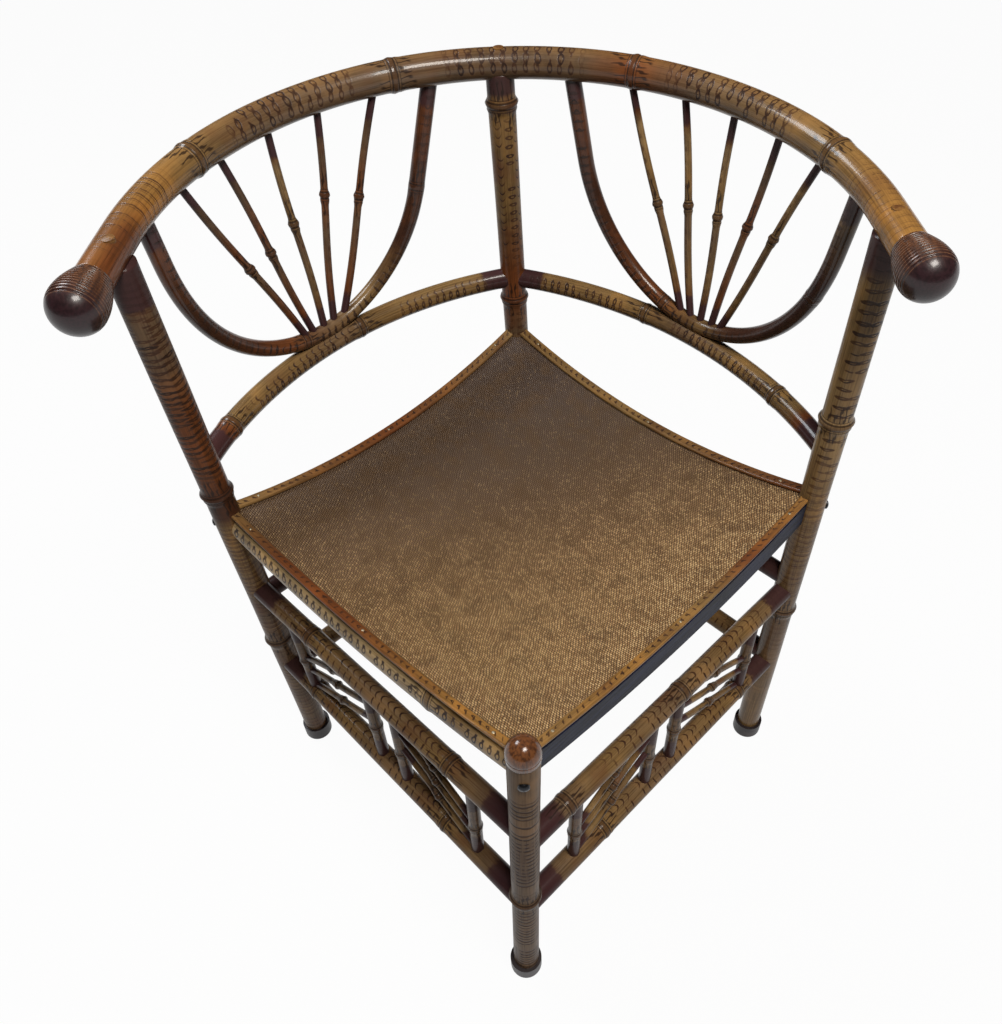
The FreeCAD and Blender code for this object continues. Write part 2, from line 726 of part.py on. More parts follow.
def make_stile(side, number):
    """An upright between the two rails of a front side, let a little into both."""
    place = STILE_PLACES[number]
    low = LOWER_RAIL_HEIGHT[side] + LOWER_RAIL_DIAMETER / 2 - LET_IN
    high = UPPER_RAIL_HEIGHT[side] - UPPER_RAIL_DIAMETER / 2 + LET_IN
    start = stile_axis(side, place, low)
    return culm(start, stile_axis(side, place, high), STILE_DIAMETER, (STILE_NODES[number],), STILE_SWELL)


def make_bay_sticks(side, first, second, mirrored):
    """Three slanted sticks between two stiles, before their ends are coped."""
    low = LOWER_RAIL_HEIGHT[side]
    rise = UPPER_RAIL_HEIGHT[side] - low
    sticks = []
    for near, far in BAY_STICKS:
        if mirrored:
            near, far = far, near
        start = stile_axis(side, STILE_PLACES[first], low + near * rise)
        end = stile_axis(side, STILE_PLACES[second], low + far * rise)
        sticks.append(culm(start, end, BAY_STICK_DIAMETER, (0.5,), STICK_SWELL))
    return sticks


def make_leg(leg):
    """A thick upright stem, from the ferrule's sole up into the arm rail or to the seat's top."""
    if leg == "front":
        top = leg_axis(leg, SEAT_HEIGHT + CAP_LIFT)
    else:
        angle = {"left": math.pi, "right": 0.0, "back": math.pi / 2}[leg]
        top = leg_axis(leg, arm_point(angle).z - ARM_DIAMETER * COPE_SHARE)
    return culm(leg_axis(leg, FERRULE_SOLE), top, LEG_DIAMETER, LEG_NODES[leg], LEG_SWELL)


def make_plug(leg):
    """A round peg down through the arm rail into a leg's top: its domed end shows."""
    angle = {"left": math.pi, "right": 0.0, "back": math.pi / 2}[leg]
    top = arm_point(angle).z + ARM_DIAMETER / 2
    foot = leg_axis(leg, top - ARM_DIAMETER - PLUG_DEPTH)
    head = leg_axis(leg, top)
    radius = PLUG_DIAMETER / 2
    length = (head - foot).Length
    edges = [
        line(Vector(0, 0, 0), Vector(radius, 0, 0)),
        line(Vector(radius, 0, 0), Vector(radius, 0, length)),
        dome(radius, length, PLUG_PROUD),
        line(Vector(0, 0, length + PLUG_PROUD), Vector(0, 0, 0)),
    ]
    return turned(edges, foot, head)


def make_ferrule(leg):
    """A cup on a foot, with its outer bottom edge rounded over."""
    foot = leg_axis(leg, 0)
    cup = Part.makeCylinder(FERRULE_DIAMETER / 2, FERRULE_HEIGHT, foot)
    bottom = [edge for edge in cup.Edges if abs(edge.CenterOfMass.z) < 0.01]
    return cup.makeFillet(FERRULE_ROUNDING, bottom)


def make_cap(leg):
    """A turned cap on the short front leg: a spigot that fits the leg, a straight rim and a low dome."""
    base = leg_axis(leg, SEAT_HEIGHT + CAP_LIFT)
    radius = CAP_DIAMETER / 2
    spigot = CAP_SPIGOT_DIAMETER / 2
    height = CAP_RIM + CAP_DOME
    edges = [
        line(Vector(0, 0, -CAP_SPIGOT_LENGTH), Vector(spigot, 0, -CAP_SPIGOT_LENGTH)),
        line(Vector(spigot, 0, -CAP_SPIGOT_LENGTH), Vector(spigot, 0, 0)),
        line(Vector(spigot, 0, 0), Vector(radius, 0, 0)),
        line(Vector(radius, 0, 0), Vector(radius, 0, CAP_RIM)),
        dome(radius, CAP_RIM, CAP_DOME),
        line(Vector(0, 0, height), Vector(0, 0, -CAP_SPIGOT_LENGTH)),
    ]
    return turned(edges, base, base + UP)


def make_knob_dowel(side):
    """A thick dowel across the joint of an arm and its knob: it stops short of the plug in the arm."""
    end, heading = arm_end(side)
    start = end - heading * KNOB_DOWEL_BITE
    return rod(start, start + heading * KNOB_DOWEL_LENGTH, KNOB_DOWEL_DIAMETER)


def make_all():
    """Every node of the chair by its name, with each joint's sockets and coped ends cut."""
    legs = {leg: make_leg(leg) for leg in SEAT_CORNER}
    leg_solids = list(legs.values())
    arm_rail = make_arm_rail()
    hoops = {leg: make_hoop(leg) for leg in ("left", "right")}
    back_sticks = {leg: [make_back_stick(leg, i) for i in range(len(STICK_TOPS[leg]))] for leg in hoops}
    low_back = {leg: make_low_back_rail(leg) for leg in ("left", "right")}
    all_sticks = back_sticks["left"] + back_sticks["right"]
    plugs = [make_plug(leg) for leg in ("left", "right", "back")]
    knob_dowels = [make_knob_dowel(side) for side in ("left", "right")]
    bolts = {leg: make_bolt(leg) for leg in SEAT_CORNER}
    pins = [make_pin(side, share) for side in SIDES for share in PIN_PLACES]
    cap = make_cap("front")
    dowels = []
    set_rails = []
    nodes = {}

    for leg in ("left", "right"):
        start, middle, end = low_back_curve(leg)
        path = Part.ArcOfCircle(start, middle, end)
        dowels.append(make_dowel(start, path.tangent(path.FirstParameter)[0]))
        dowels.append(make_dowel(end, path.tangent(path.LastParameter)[0] * -1))
    for side in SIDES:
        for height in (UPPER_RAIL_HEIGHT[side], LOWER_RAIL_HEIGHT[side]):
            start, end = (leg_axis(leg, height) for leg in SIDES[side])
            dowels += [make_dowel(*rail_end) for rail_end in rail_ends(start, end)]

    for leg in ("left", "right"):
        nodes["lower_back_rail_" + leg] = low_back[leg].cut(leg_solids + dowels)
        nodes[leg + "_back_hoop"] = hoops[leg].cut([low_back[leg]] + back_sticks[leg])
        for i, stick in enumerate(back_sticks[leg]):
            nodes["{}_back_stick_{}".format(leg, i + 1)] = stick
        nodes[leg + "_finial"] = make_knob(leg).cut(knob_dowels)
    nodes["arm_rail"] = arm_rail.cut(list(hoops.values()) + all_sticks + plugs + knob_dowels)
    nodes["arm_rail_plugs"] = Part.makeCompound(plugs)

    for side in SIDES:
        rails = {
            "upper": make_side_rail(side, UPPER_RAIL_HEIGHT, UPPER_RAIL_DIAMETER, UPPER_RAIL_NODES),
            "lower": make_side_rail(side, LOWER_RAIL_HEIGHT, LOWER_RAIL_DIAMETER, LOWER_RAIL_NODES),
        }
        stiles = [make_stile(side, i) for i in range(len(STILE_PLACES))] if side in FRONT_SIDES else []
        for level, rail in rails.items():
            nodes[level + "_rail_" + side] = rail.cut(leg_solids + dowels + stiles + set_rails)
        set_rails += rails.values()
        for i, stile in enumerate(stiles):
            nodes["stile_{}_{}".format(side, i + 1)] = stile
        if stiles:
            for name, pair, mirrored in (("outer", (0, 1), False), ("inner", (2, 3), True)):
                carriers = [stiles[pair[0]], stiles[pair[1]]] + list(rails.values())
                sticks = [stick.cut(carriers) for stick in make_bay_sticks(side, *pair, mirrored)]
                nodes["sticks_{}_{}".format(side, name)] = Part.makeCompound(sticks)
        nodes["seat_rail_" + side] = make_seat_rail(side).cut(leg_solids + list(bolts.values()) + pins)
        nodes["seat_trim_" + side] = make_trim(side).cut(leg_solids + pins)

    nodes["seat_matting"] = make_matting()
    nodes["seat_board"] = make_board()
    nodes["seat_battens"] = Part.makeCompound([make_batten(side) for side in SIDES])
    nodes["seat_corner_blocks"] = Part.makeCompound([make_corner_block(leg) for leg in SEAT_CORNER])
    nodes["seat_facing_front_left"] = make_facing().cut(leg_solids)
    nodes["trim_pins"] = Part.makeCompound(pins)
    nodes["seat_bolts"] = Part.makeCompound(list(bolts.values()))

    for leg, solid in legs.items():
        nodes[leg + "_leg"] = solid.cut([arm_rail, cap, bolts[leg]] + plugs + dowels)
    nodes["foot_ferrules"] = Part.makeCompound([make_ferrule(leg).cut(legs[leg]) for leg in SEAT_CORNER])
    nodes["front_leg_cap"] = cap
    nodes["rail_dowels"] = Part.makeCompound(dowels + knob_dowels)
    return nodes


def main():
    """Writes every node, moved together so that the origin is on the floor under the chair's middle."""
    os.makedirs("parts", exist_ok=True)
    nodes = make_all()
    box = Part.makeCompound(list(nodes.values())).optimalBoundingBox()
    to_middle = Vector(-box.Center.x, -box.Center.y, 0)
    for name, shape in nodes.items():
        shape.translate(to_middle)
        shape.exportStep("parts/" + name + ".step")
    print("nodes", len(nodes), "box", round(box.XLength, 1), round(box.YLength, 1), round(box.ZMax, 1))
    print("moved by", round(to_middle.x, 3), round(to_middle.y, 3))


main()
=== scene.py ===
# %% [markdown]
# # A corner chair of scorched bamboo
# The chair is a square seat turned on its corner. Four bamboo legs stand under its corners, three of them run
# up to one round arm rail, and thin stems fill the back and the two front sides. This script dresses the
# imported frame: each bamboo stem gets a fuller surface with nodes, scorch marks and varnish.

# %% Load the frame
import math

import bpy
import numpy as np
from mathutils import Matrix, Vector


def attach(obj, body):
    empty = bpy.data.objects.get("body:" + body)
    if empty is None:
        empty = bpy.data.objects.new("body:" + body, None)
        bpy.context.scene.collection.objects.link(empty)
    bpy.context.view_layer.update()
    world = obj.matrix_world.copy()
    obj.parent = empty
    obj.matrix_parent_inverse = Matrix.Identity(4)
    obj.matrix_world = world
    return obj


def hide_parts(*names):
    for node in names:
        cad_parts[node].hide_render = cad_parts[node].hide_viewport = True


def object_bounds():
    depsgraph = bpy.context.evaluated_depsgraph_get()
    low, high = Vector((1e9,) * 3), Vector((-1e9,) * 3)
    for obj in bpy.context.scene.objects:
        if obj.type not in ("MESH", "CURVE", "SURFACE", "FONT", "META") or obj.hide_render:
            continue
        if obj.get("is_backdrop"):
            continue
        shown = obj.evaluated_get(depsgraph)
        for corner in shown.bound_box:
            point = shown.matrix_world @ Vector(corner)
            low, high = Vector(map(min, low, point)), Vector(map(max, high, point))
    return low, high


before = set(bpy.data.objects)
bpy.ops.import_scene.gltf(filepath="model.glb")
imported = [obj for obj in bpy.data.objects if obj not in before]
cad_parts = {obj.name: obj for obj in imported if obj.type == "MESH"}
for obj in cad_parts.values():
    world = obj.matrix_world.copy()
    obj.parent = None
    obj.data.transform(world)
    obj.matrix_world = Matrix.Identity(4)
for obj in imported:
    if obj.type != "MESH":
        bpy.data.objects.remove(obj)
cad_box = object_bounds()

print("frame:", len(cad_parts), "nodes, box", np.round(cad_box, 3).tolist())

# %% [markdown]
# ## Camera
# The chair is seen from just above its front corner, from about a metre up. The lens is a little wide, so
# the legs draw together towards the floor. The picture's middle isn't quite the lens's axis, and a small
# shift of the film says so without turning the camera.

# %% Set the camera
FRAME_WIDTH, FRAME_HEIGHT = 1002, 1024
FOCAL_PIXELS = 927.43
AXIS_PIXEL = (526.67, 516.28)
CAMERA_PLACE = (0.015107, -0.607411, 1.064)
YAW, PITCH, ROLL = -0.0075, 0.8248, -0.0339

ahead = Vector((math.sin(YAW) * math.cos(PITCH), math.cos(YAW) * math.cos(PITCH), -math.sin(PITCH)))
level = Vector((math.cos(YAW), -math.sin(YAW), 0))
upright = level.cross(ahead)
across = level * math.cos(ROLL) + upright * math.sin(ROLL)
upwards = upright * math.cos(ROLL) - level * math.sin(ROLL)


def place_object(name, data):
    """A new object of this name in the scene."""
    made = bpy.data.objects.new(name, data)
    bpy.context.scene.collection.objects.link(made)
    return made


camera = place_object("camera", bpy.data.cameras.new("camera"))
turn = Matrix((across, upwards, -ahead)).transposed().to_4x4()
camera.matrix_world = Matrix.Translation(CAMERA_PLACE) @ turn
camera.data.lens = FOCAL_PIXELS / FRAME_HEIGHT * camera.data.sensor_width
camera.data.shift_x = (FRAME_WIDTH / 2 - AXIS_PIXEL[0]) / FRAME_HEIGHT
camera.data.shift_y = (AXIS_PIXEL[1] - FRAME_HEIGHT / 2) / FRAME_HEIGHT
camera.data.clip_start = 0.02
bpy.context.scene.camera = camera
bpy.context.scene.view_settings.view_transform = "Standard"
print("lens", round(camera.data.lens, 2), "mm")

# %% [markdown]
# ## Shader arithmetic
# A finish is a sum of masks: where a mark lies, how near a node is, how the fibres run. Written as nodes
# that is hard to read, so one small class wraps a socket. Its operators add Math nodes, and its one method
# makes any other node, with the node's settings first and then its sockets.

# %% A socket that can be counted with
class Strand:
    """A value that runs through a material. Sums and products of strands become Math nodes."""

    def __init__(self, socket):
        self.socket = socket
        self.tree = socket.id_data

    def node(self, kind, settings, sockets, out=0):
        """Makes a node of this kind and returns its output of that number or name."""
        made = self.tree.nodes.new(kind)
        for name, value in settings.items():
            setattr(made, name, value)
        for name, value in sockets.items():
            if isinstance(value, Strand):
                self.tree.links.new(value.socket, made.inputs[name])
            else:
                made.inputs[name].default_value = value
        return Strand(made.outputs[out])

    def math(self, operation, *values):
        """A Math node. Its sockets are the values, so the strand itself is given once more as one of them."""
        return self.node("ShaderNodeMath", {"operation": operation}, dict(enumerate(values)))

    def __add__(self, other):
        return self.math("ADD", self, other)

    def __sub__(self, other):
        return self.math("SUBTRACT", self, other)

    def __rsub__(self, other):
        return self.math("SUBTRACT", other, self)

    def __mul__(self, other):
        return self.math("MULTIPLY", self, other)

    def __truediv__(self, other):
        return self.math("DIVIDE", self, other)

    __radd__ = __add__
    __rmul__ = __mul__

    def step(self, low, high):
        """0 below low, 1 above high, smooth between: low may be the larger one."""
        if low > high:
            return 1 - self.step(high, low)
        return self.node("ShaderNodeMapRange", {"interpolation_type": "SMOOTHSTEP"}, {0: self, 1: low, 2: high})

    def parts(self):
        """The three numbers of a vector."""
        split = self.node("ShaderNodeSeparateXYZ", {}, {0: self})
        return [Strand(socket) for socket in split.socket.node.outputs]


print("strands ready")

# %% [markdown]
# A few plain functions make what the finishes share. The last two begin and end a finish: one sets the
# shader's uniform values, the other links what varies.

# %% Colours, noise and finishes
def vector(x, y, z):
    """A vector from three strands or numbers, of which one at least is a strand."""
    strand = next(value for value in (x, y, z) if isinstance(value, Strand))
    return strand.node("ShaderNodeCombineXYZ", {}, {0: x, 1: y, 2: z})


def blend(low, high, mask):
    """The colour low where the mask is 0, high where it is 1."""
    low, high = (value if isinstance(value, Strand) else (*value, 1) for value in (low, high))
    return mask.node("ShaderNodeMix", {"data_type": "RGBA"}, {0: mask, 6: low, 7: high}, 2)


def larger(one, other):
    """The larger of two strands at each place."""
    return one.math("MAXIMUM", one, other)


def hypotenuse(one, other):
    """The root of the sum of two strands' squares."""
    square = one * one + other * other
    return square.math("SQRT", square)


def attribute(start, name):
    """A vector that the mesh carries on its points."""
    return start.node("ShaderNodeAttribute", {"attribute_name": name}, {}, "Vector")


def noise(place, scale, detail):
    """Cloudy noise from 0 to 1, with about this many patches to the unit."""
    return place.node("ShaderNodeTexNoise", {}, {"Vector": place, "Scale": scale, "Detail": detail})


def new_finish(name, roughness, metallic=0.0, coat=0.0, coat_roughness=0.1, shine=0.3):
    """A material with its uniform values set: returns it, its shader node and a strand to start from."""
    material = bpy.data.materials.new(name)
    material.use_nodes = True
    shader = material.node_tree.nodes["Principled BSDF"]
    uniform = {"Roughness": roughness, "Metallic": metallic, "Specular IOR Level": shine,
               "Coat Weight": coat, "Coat Roughness": coat_roughness}
    for socket, value in uniform.items():
        shader.inputs[socket].default_value = value
    return material, shader, Strand(shader.outputs[0])


def finish_with(shader, colour, roughness, height, depth):
    """Links a finish's colour, roughness and relief: height 1 stands out by the depth, in metres."""
    bump = height.node("ShaderNodeBump", {}, {"Height": height, "Distance": depth})
    for strand, name in ((colour, "Base Color"), (roughness, "Roughness"), (bump, "Normal")):
        shader.id_data.links.new(strand.socket, shader.inputs[name])


print("functions for finishes ready")

# %% [markdown]
# ## The chair's own measures
# The stems stand where the frame's stems stand, so their lines are worked out again here from the same
# sizes, in millimetres. The chair's corners are its four legs at seat height, and every foot has drifted a
# little from the point under its corner, as the legs were set by eye.

# %% Legs, arm rail and seat as lines
MILLIMETRE = 0.001
TO_MIDDLE = np.array((3.907, 0.389, 0.0))
SEAT_HEIGHT, ARM_HEIGHT = 431.0, 705.5
CORNER = {
    "front": np.array((0.0, -269.5)),
    "left": np.array((-280.0, 0.0)),
    "right": np.array((280.0, 0.0)),
    "back": np.array((0.0, 280.0)),
}
FOOT_DRIFT = {"front": (-7.8, -12.0), "left": (8.6, 10.7), "right": (-1.6, -3.0), "back": (10.1, -1.8)}
SIDES = {
    "front_left": ("left", "front"),
    "front_right": ("right", "front"),
    "back_left": ("left", "back"),
    "back_right": ("right", "back"),
}
ARM_RADIUS, ARM_DIAMETER, ARM_FLARE = 285.5, 28.0, 4.9
ARM_CENTRE = np.array((-3.5, -4.5, ARM_HEIGHT))
ARM_TILT = math.atan2(14.2, ARM_RADIUS)


def leg_axis(leg, height):
    """The leg's corner at seat height, plus the foot's drift times what is left of the way down."""
    height = np.asarray(height, float)
    plan = CORNER[leg] + np.array(FOOT_DRIFT[leg]) * (1 - height / SEAT_HEIGHT)[..., None]
    return np.concatenate((plan, height[..., None]), axis=-1)


def together(*parts):
    """Arrays of single numbers, broadcast and put together to one array of points."""
    return np.stack(np.broadcast_arrays(*parts), axis=-1)


def arm_point(angle):
    """A circle about the arm rail's centre, tipped about its left-right line so that the back is higher."""
    angle = np.asarray(angle, float)
    depth = ARM_RADIUS * np.sin(angle)
    return ARM_CENTRE + together(
        ARM_RADIUS * np.cos(angle), depth * math.cos(ARM_TILT), depth * math.sin(ARM_TILT))


def unit(vectors):
    return vectors / np.linalg.norm(vectors, axis=-1, keepdims=True)


def bowed(start, end, bulge, count):
    """An arc from start to end that stands out by the vector bulge at its middle."""
    half = (end - start) / 2
    reach, rise = np.linalg.norm(half), np.linalg.norm(bulge)
    radius = (reach ** 2 + rise ** 2) / (2 * rise)
    turns = np.linspace(-1, 1, count)[:, None] * math.asin(reach / radius)
    centre = (start + end) / 2 - unit(bulge) * (radius - rise)
    return centre + radius * (np.sin(turns) * unit(half) + np.cos(turns) * unit(bulge))


def run_of(path):
    """How far along the path each of its points lies: the sum of the steps up to it."""
    return np.concatenate(([0], np.cumsum(np.linalg.norm(np.diff(path, axis=0), axis=1))))


def evenly(path):
    """The same line with its points two millimetres apart, by its length."""
    length = run_of(path)
    places = np.linspace(0, length[-1], max(int(length[-1] / 2.0), 2) + 1)
    return np.stack([np.interp(places, length, path[:, axis]) for axis in range(3)], axis=1)


print("arm rail's back at", np.round(arm_point(math.pi / 2), 1))

# %% [markdown]
# ## A loop carried along a line
# A stem, a knob, a strip and a split stem are all one shape: a closed loop of points that changes as it
# moves along. So one function turns a grid of loops into a mesh and closes both ends, and one more gives
# the mesh to Blender with its piece's name, its place in the frame and its finish.
# Each point also keeps where it would lie if the stem were straight, how far the next node and the next
# end are, how much the iron has marked it, and its own ground colour. The finishes read these.

# %% Loft, piece
EXTRAS = ("lie", "gaps", "scorch", "tone")


def loft(loops, extras):
    """Joins each point to its neighbours round and along, and each end loop to its own middle point."""
    rings, sides = loops.shape[:2]
    index = np.arange(rings * sides).reshape(rings, sides)
    ahead = np.roll(index, -1, axis=1)
    quads = np.stack((index[:-1], ahead[:-1], ahead[1:], index[1:]), axis=-1).reshape(-1, 4)
    first, last = rings * sides, rings * sides + 1
    start = np.stack((np.full(sides, first), ahead[0], index[0]), axis=-1)
    end = np.stack((np.full(sides, last), index[-1], ahead[-1]), axis=-1)
    points = np.concatenate((loops.reshape(-1, 3), [loops[0].mean(0), loops[-1].mean(0)]))
    carried = {}
    for name in EXTRAS:
        grid = np.broadcast_to(extras.get(name, np.zeros(3)), loops.shape)
        carried[name] = np.concatenate((grid.reshape(-1, 3), [grid[0].mean(0), grid[-1].mean(0)]))
    return {"points": points, "quads": quads, "tris": np.concatenate((start, end)), **carried}


def volume(points, tris):
    a, b, c = (points[tris[:, i]] for i in range(3))
    return np.einsum("ij,ij->i", a, np.cross(b, c)).sum() / 6


def piece(name, surfaces, finish, node):
    """One object from one or more lofts: it replaces a node, and its faces are turned outwards."""
    vertices, loops, totals, extras, reached = [], [], [], {key: [] for key in EXTRAS}, 0
    for surface in surfaces:
        points = (surface["points"] + TO_MIDDLE) * MILLIMETRE
        quads, tris = surface["quads"], surface["tris"]
        halves = np.concatenate((quads[:, [0, 1, 2]], quads[:, [0, 2, 3]], tris))
        if volume(points, halves) < 0:
            quads, tris = quads[:, ::-1], tris[:, ::-1]
        vertices.append(points)
        loops += [(quads + reached).ravel(), (tris + reached).ravel()]
        totals += [np.full(len(quads), 4), np.full(len(tris), 3)]
        for key in EXTRAS:
            extras[key].append(surface[key])
        reached += len(points)
    vertices, loops, totals = (np.concatenate(group) for group in (vertices, loops, totals))
    mesh = bpy.data.meshes.new(name)
    mesh.vertices.add(len(vertices))
    mesh.vertices.foreach_set("co", vertices.ravel())
    mesh.loops.add(len(loops))
    mesh.loops.foreach_set("vertex_index", loops.astype(np.int32))
    mesh.polygons.add(len(totals))
    mesh.polygons.foreach_set("loop_start", (np.cumsum(totals) - totals).astype(np.int32))
    mesh.update(calc_edges=True)
    mesh.shade_smooth()
    for key, values in extras.items():
        layer = mesh.attributes.new(key, "FLOAT_VECTOR", "POINT")
        layer.data.foreach_set("vector", np.concatenate(values).astype(np.float32).ravel())
    mesh.materials.append(finish)
    made = place_object(name, mesh)
    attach(made, "root")
    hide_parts(node)


print("loft and piece ready")

# %% [markdown]
# ## A bamboo stem
# Bamboo is a tapering tube with a node every hand's breadth or so: a raised ring with a fine groove under it,
# where a leaf sheath once sat. A stem here is a circle carried along a line. Its radius follows the taper,
# swells at each node, dips in the groove and wavers by about a hundredth, because no stem is truly round.
# Its colour, and how marked, banded and smoked it is, go with it too, as values at shares of its length.

# %% Stem
OLIVE = (0.225, 0.135, 0.052)
HONEY = (0.31, 0.155, 0.042)
GREY_BROWN = (0.17, 0.108, 0.06)
DULL_BROWN = (0.15, 0.095, 0.055)
PALE_OLIVE = (0.34, 0.22, 0.1)
RED_BROWN = (0.17, 0.055, 0.018)
CHOCOLATE = (0.06, 0.024, 0.013)
PURPLE = (0.05, 0.022, 0.024)
STRAW = (0.4, 0.28, 0.14)
GROOVE_GAP, SHEATH_GAP = 2.9, 5.5


def along_stem(stops, shares):
    """Values between stops, each a share of the length and a triple. Beyond the outer stops nothing changes."""
    places, values = [place for place, _ in stops], np.array([value for _, value in stops])
    return np.stack([np.interp(shares, places, values[:, axis]) for axis in range(3)], axis=-1)


def stem(path, diameter, nodes, toward, tone, scorch, sides, seed, swell=0.1, taper=0.0):
    """A circle carried along the path, with its first point on the side that looks toward.

    Radius: half the diameter, times the taper, a slow waver, and at each node a crest and a groove, both
    bell curves of the distance from it. Nodes are places along the path in millimetres. The seed shifts the
    waver, and the place where the straight stem would lie, so that no two stems are alike.
    """
    path = evenly(np.asarray(path, float))
    along = run_of(path)
    length = along[-1]
    shares = along / length
    tangent = unit(np.gradient(path, along, axis=0))
    toward = np.broadcast_to(toward(path) if callable(toward) else np.asarray(toward, float), path.shape)
    face = unit(toward - (toward * tangent).sum(1, keepdims=True) * tangent)
    side = np.cross(tangent, face)
    turns = np.linspace(0, 2 * math.pi, sides, endpoint=False)
    from_nodes = along[:, None] - np.asarray(nodes, float)
    nearest = np.take_along_axis(from_nodes, np.abs(from_nodes).argmin(1)[:, None], 1)[:, 0]
    crest = np.exp(-(nearest / 3.0) ** 2) + 0.45 * np.exp(-((nearest + SHEATH_GAP) / 2.6) ** 2)
    groove = np.exp(-((nearest + GROOVE_GAP) / 0.9) ** 2)
    plain = diameter / 2 * (1 + taper * (shares - 0.5) + 0.008 * np.sin(along / 31 + seed))
    radius = plain * (1 + swell * crest - 0.28 * swell * groove)
    radius = radius[:, None] * (1 + 0.007 * np.sin(2 * turns + seed * 3 + along[:, None] / 90))
    loops = path[:, None] + radius[..., None] * (
        np.cos(turns)[:, None] * face[:, None] + np.sin(turns)[:, None] * side[:, None])
    flat = plain[:, None]
    lie = together(flat * np.cos(turns), flat * np.sin(turns), along[:, None] + 1000 * seed)
    end_gap = np.minimum(along, length - along)
    gaps = together(np.minimum(np.abs(nearest), 200), np.clip(nearest / 10, -1, 1), end_gap)
    extras = {
        "lie": lie * MILLIMETRE,
        "gaps": gaps[:, None],
        "scorch": along_stem(scorch, shares)[:, None],
        "tone": along_stem(tone, shares)[:, None],
    }
    return loft(loops, extras)


print("stem ready")

# %% [markdown]
# ## Marks of the hot iron
# The maker drew on the stems with a hot iron: bands round the legs, and rows of small hoops, links and
# strokes on the rails. A mark is a mask worked out from where a point would lie on the straight stem. The way
# round gives its place in a row, and the way along is cut into cells, each with its own chance, so no two
# marks are the same.

# %% Cells and motifs
BURN = (0.022, 0.012, 0.009)
SINGED = (0.13, 0.05, 0.022)


def cells(along, pitch, seed):
    """Cuts the way along into cells: returns the place in the cell from -1 to 1, and three chances."""
    counted = along / pitch
    number = counted.math("FLOOR", counted)
    chance = number.node("ShaderNodeTexWhiteNoise", {"noise_dimensions": "1D"}, {"W": number + seed}, "Color")
    return (counted - number) * 2 - 1, chance.parts()


def within(value, width):
    """1 where a value is near nothing, 0 from about this width on."""
    return value.math("ABSOLUTE", value).step(width * 1.35, width * 0.5)


def hoop(off, away, half, reach):
    """A small hoop: a stroke across the stem that bends along it by the square of the way off its middle."""
    share_off = off / half
    return within(away - share_off * share_off * reach * 2 + reach, 0.95) * within(share_off, 0.95)


def link(off, away, half, reach):
    """A chain link: the places whose way off and way along, each over its own half size, make a circle."""
    return within(hypotenuse(off / half, away / reach) - 0.9, 0.7 / reach)


def stroke(off, away, half, reach):
    """A plain stroke across the stem, thicker in its middle."""
    return within(away, reach) * within(off / half, 0.85)


def row_of(motif, round_, along, half, reach, pitch, seed):
    """One motif in every cell along the stem, each a little off its place, and one in ten left out."""
    place, (first, second, third) = cells(along, pitch, seed)
    off = round_ + (first - 0.5) * half * 0.35
    away = place * (pitch / 2) + (second - 0.5) * pitch * 0.16
    return motif(off, away, half, reach) * third.math("LESS_THAN", third, 0.9) * (0.6 + second * 0.4)


print("motifs: hoop, link, stroke")

# %% [markdown]
# Bands and tails go the other way. A band runs round the whole stem and wanders a little as it goes. Tails
# are the wavy strokes that run out from a node on both sides, so there the cells lie side by side round the
# stem.

# %% Bands and tails
def bands_round(along, wander, pitch, width, seed):
    """A thick stroke round the stem in each cell, and a thin one beside it."""
    place, (first, second, third) = cells(along + wander, pitch, seed)
    away = place * (pitch / 2) + (first - 0.5) * (pitch * 0.25)
    pair = larger(within(away, width), within(away - width * 2.8, width * 0.6) * 0.7)
    return pair * third.math("LESS_THAN", third, 0.93) * (0.55 + second * 0.45)


def tails(round_, along, node_gap, node_side):
    """Wavy strokes out from a node: one in each cell round the stem, each as long as its chance says."""
    wave = (along / 2.4).math("SINE", along / 2.4 + round_) * 0.7
    place, (first, second, third) = cells(round_ + wave, 4.6, node_side.math("SIGN", node_side) * 5.5)
    reach = (node_gap - second * 13).step(14, 10) * node_gap.step(4.4, 6)
    return within(place * 2.3 + (first - 0.5) * 1.4, 0.85) * reach * third.math("LESS_THAN", third, 0.88)


print("bands and tails ready")

# %% [markdown]
# ## Scorched and varnished bamboo
# One function makes every bamboo finish, because the stems are all the same stuff: a ground colour that the
# stem carries, fibres and blotches, then marks, nodes and stained ends. Near a mark the bamboo is singed
# brown before it is burnt black. Varnish is a thin coat, and the lower stems have less of it left.

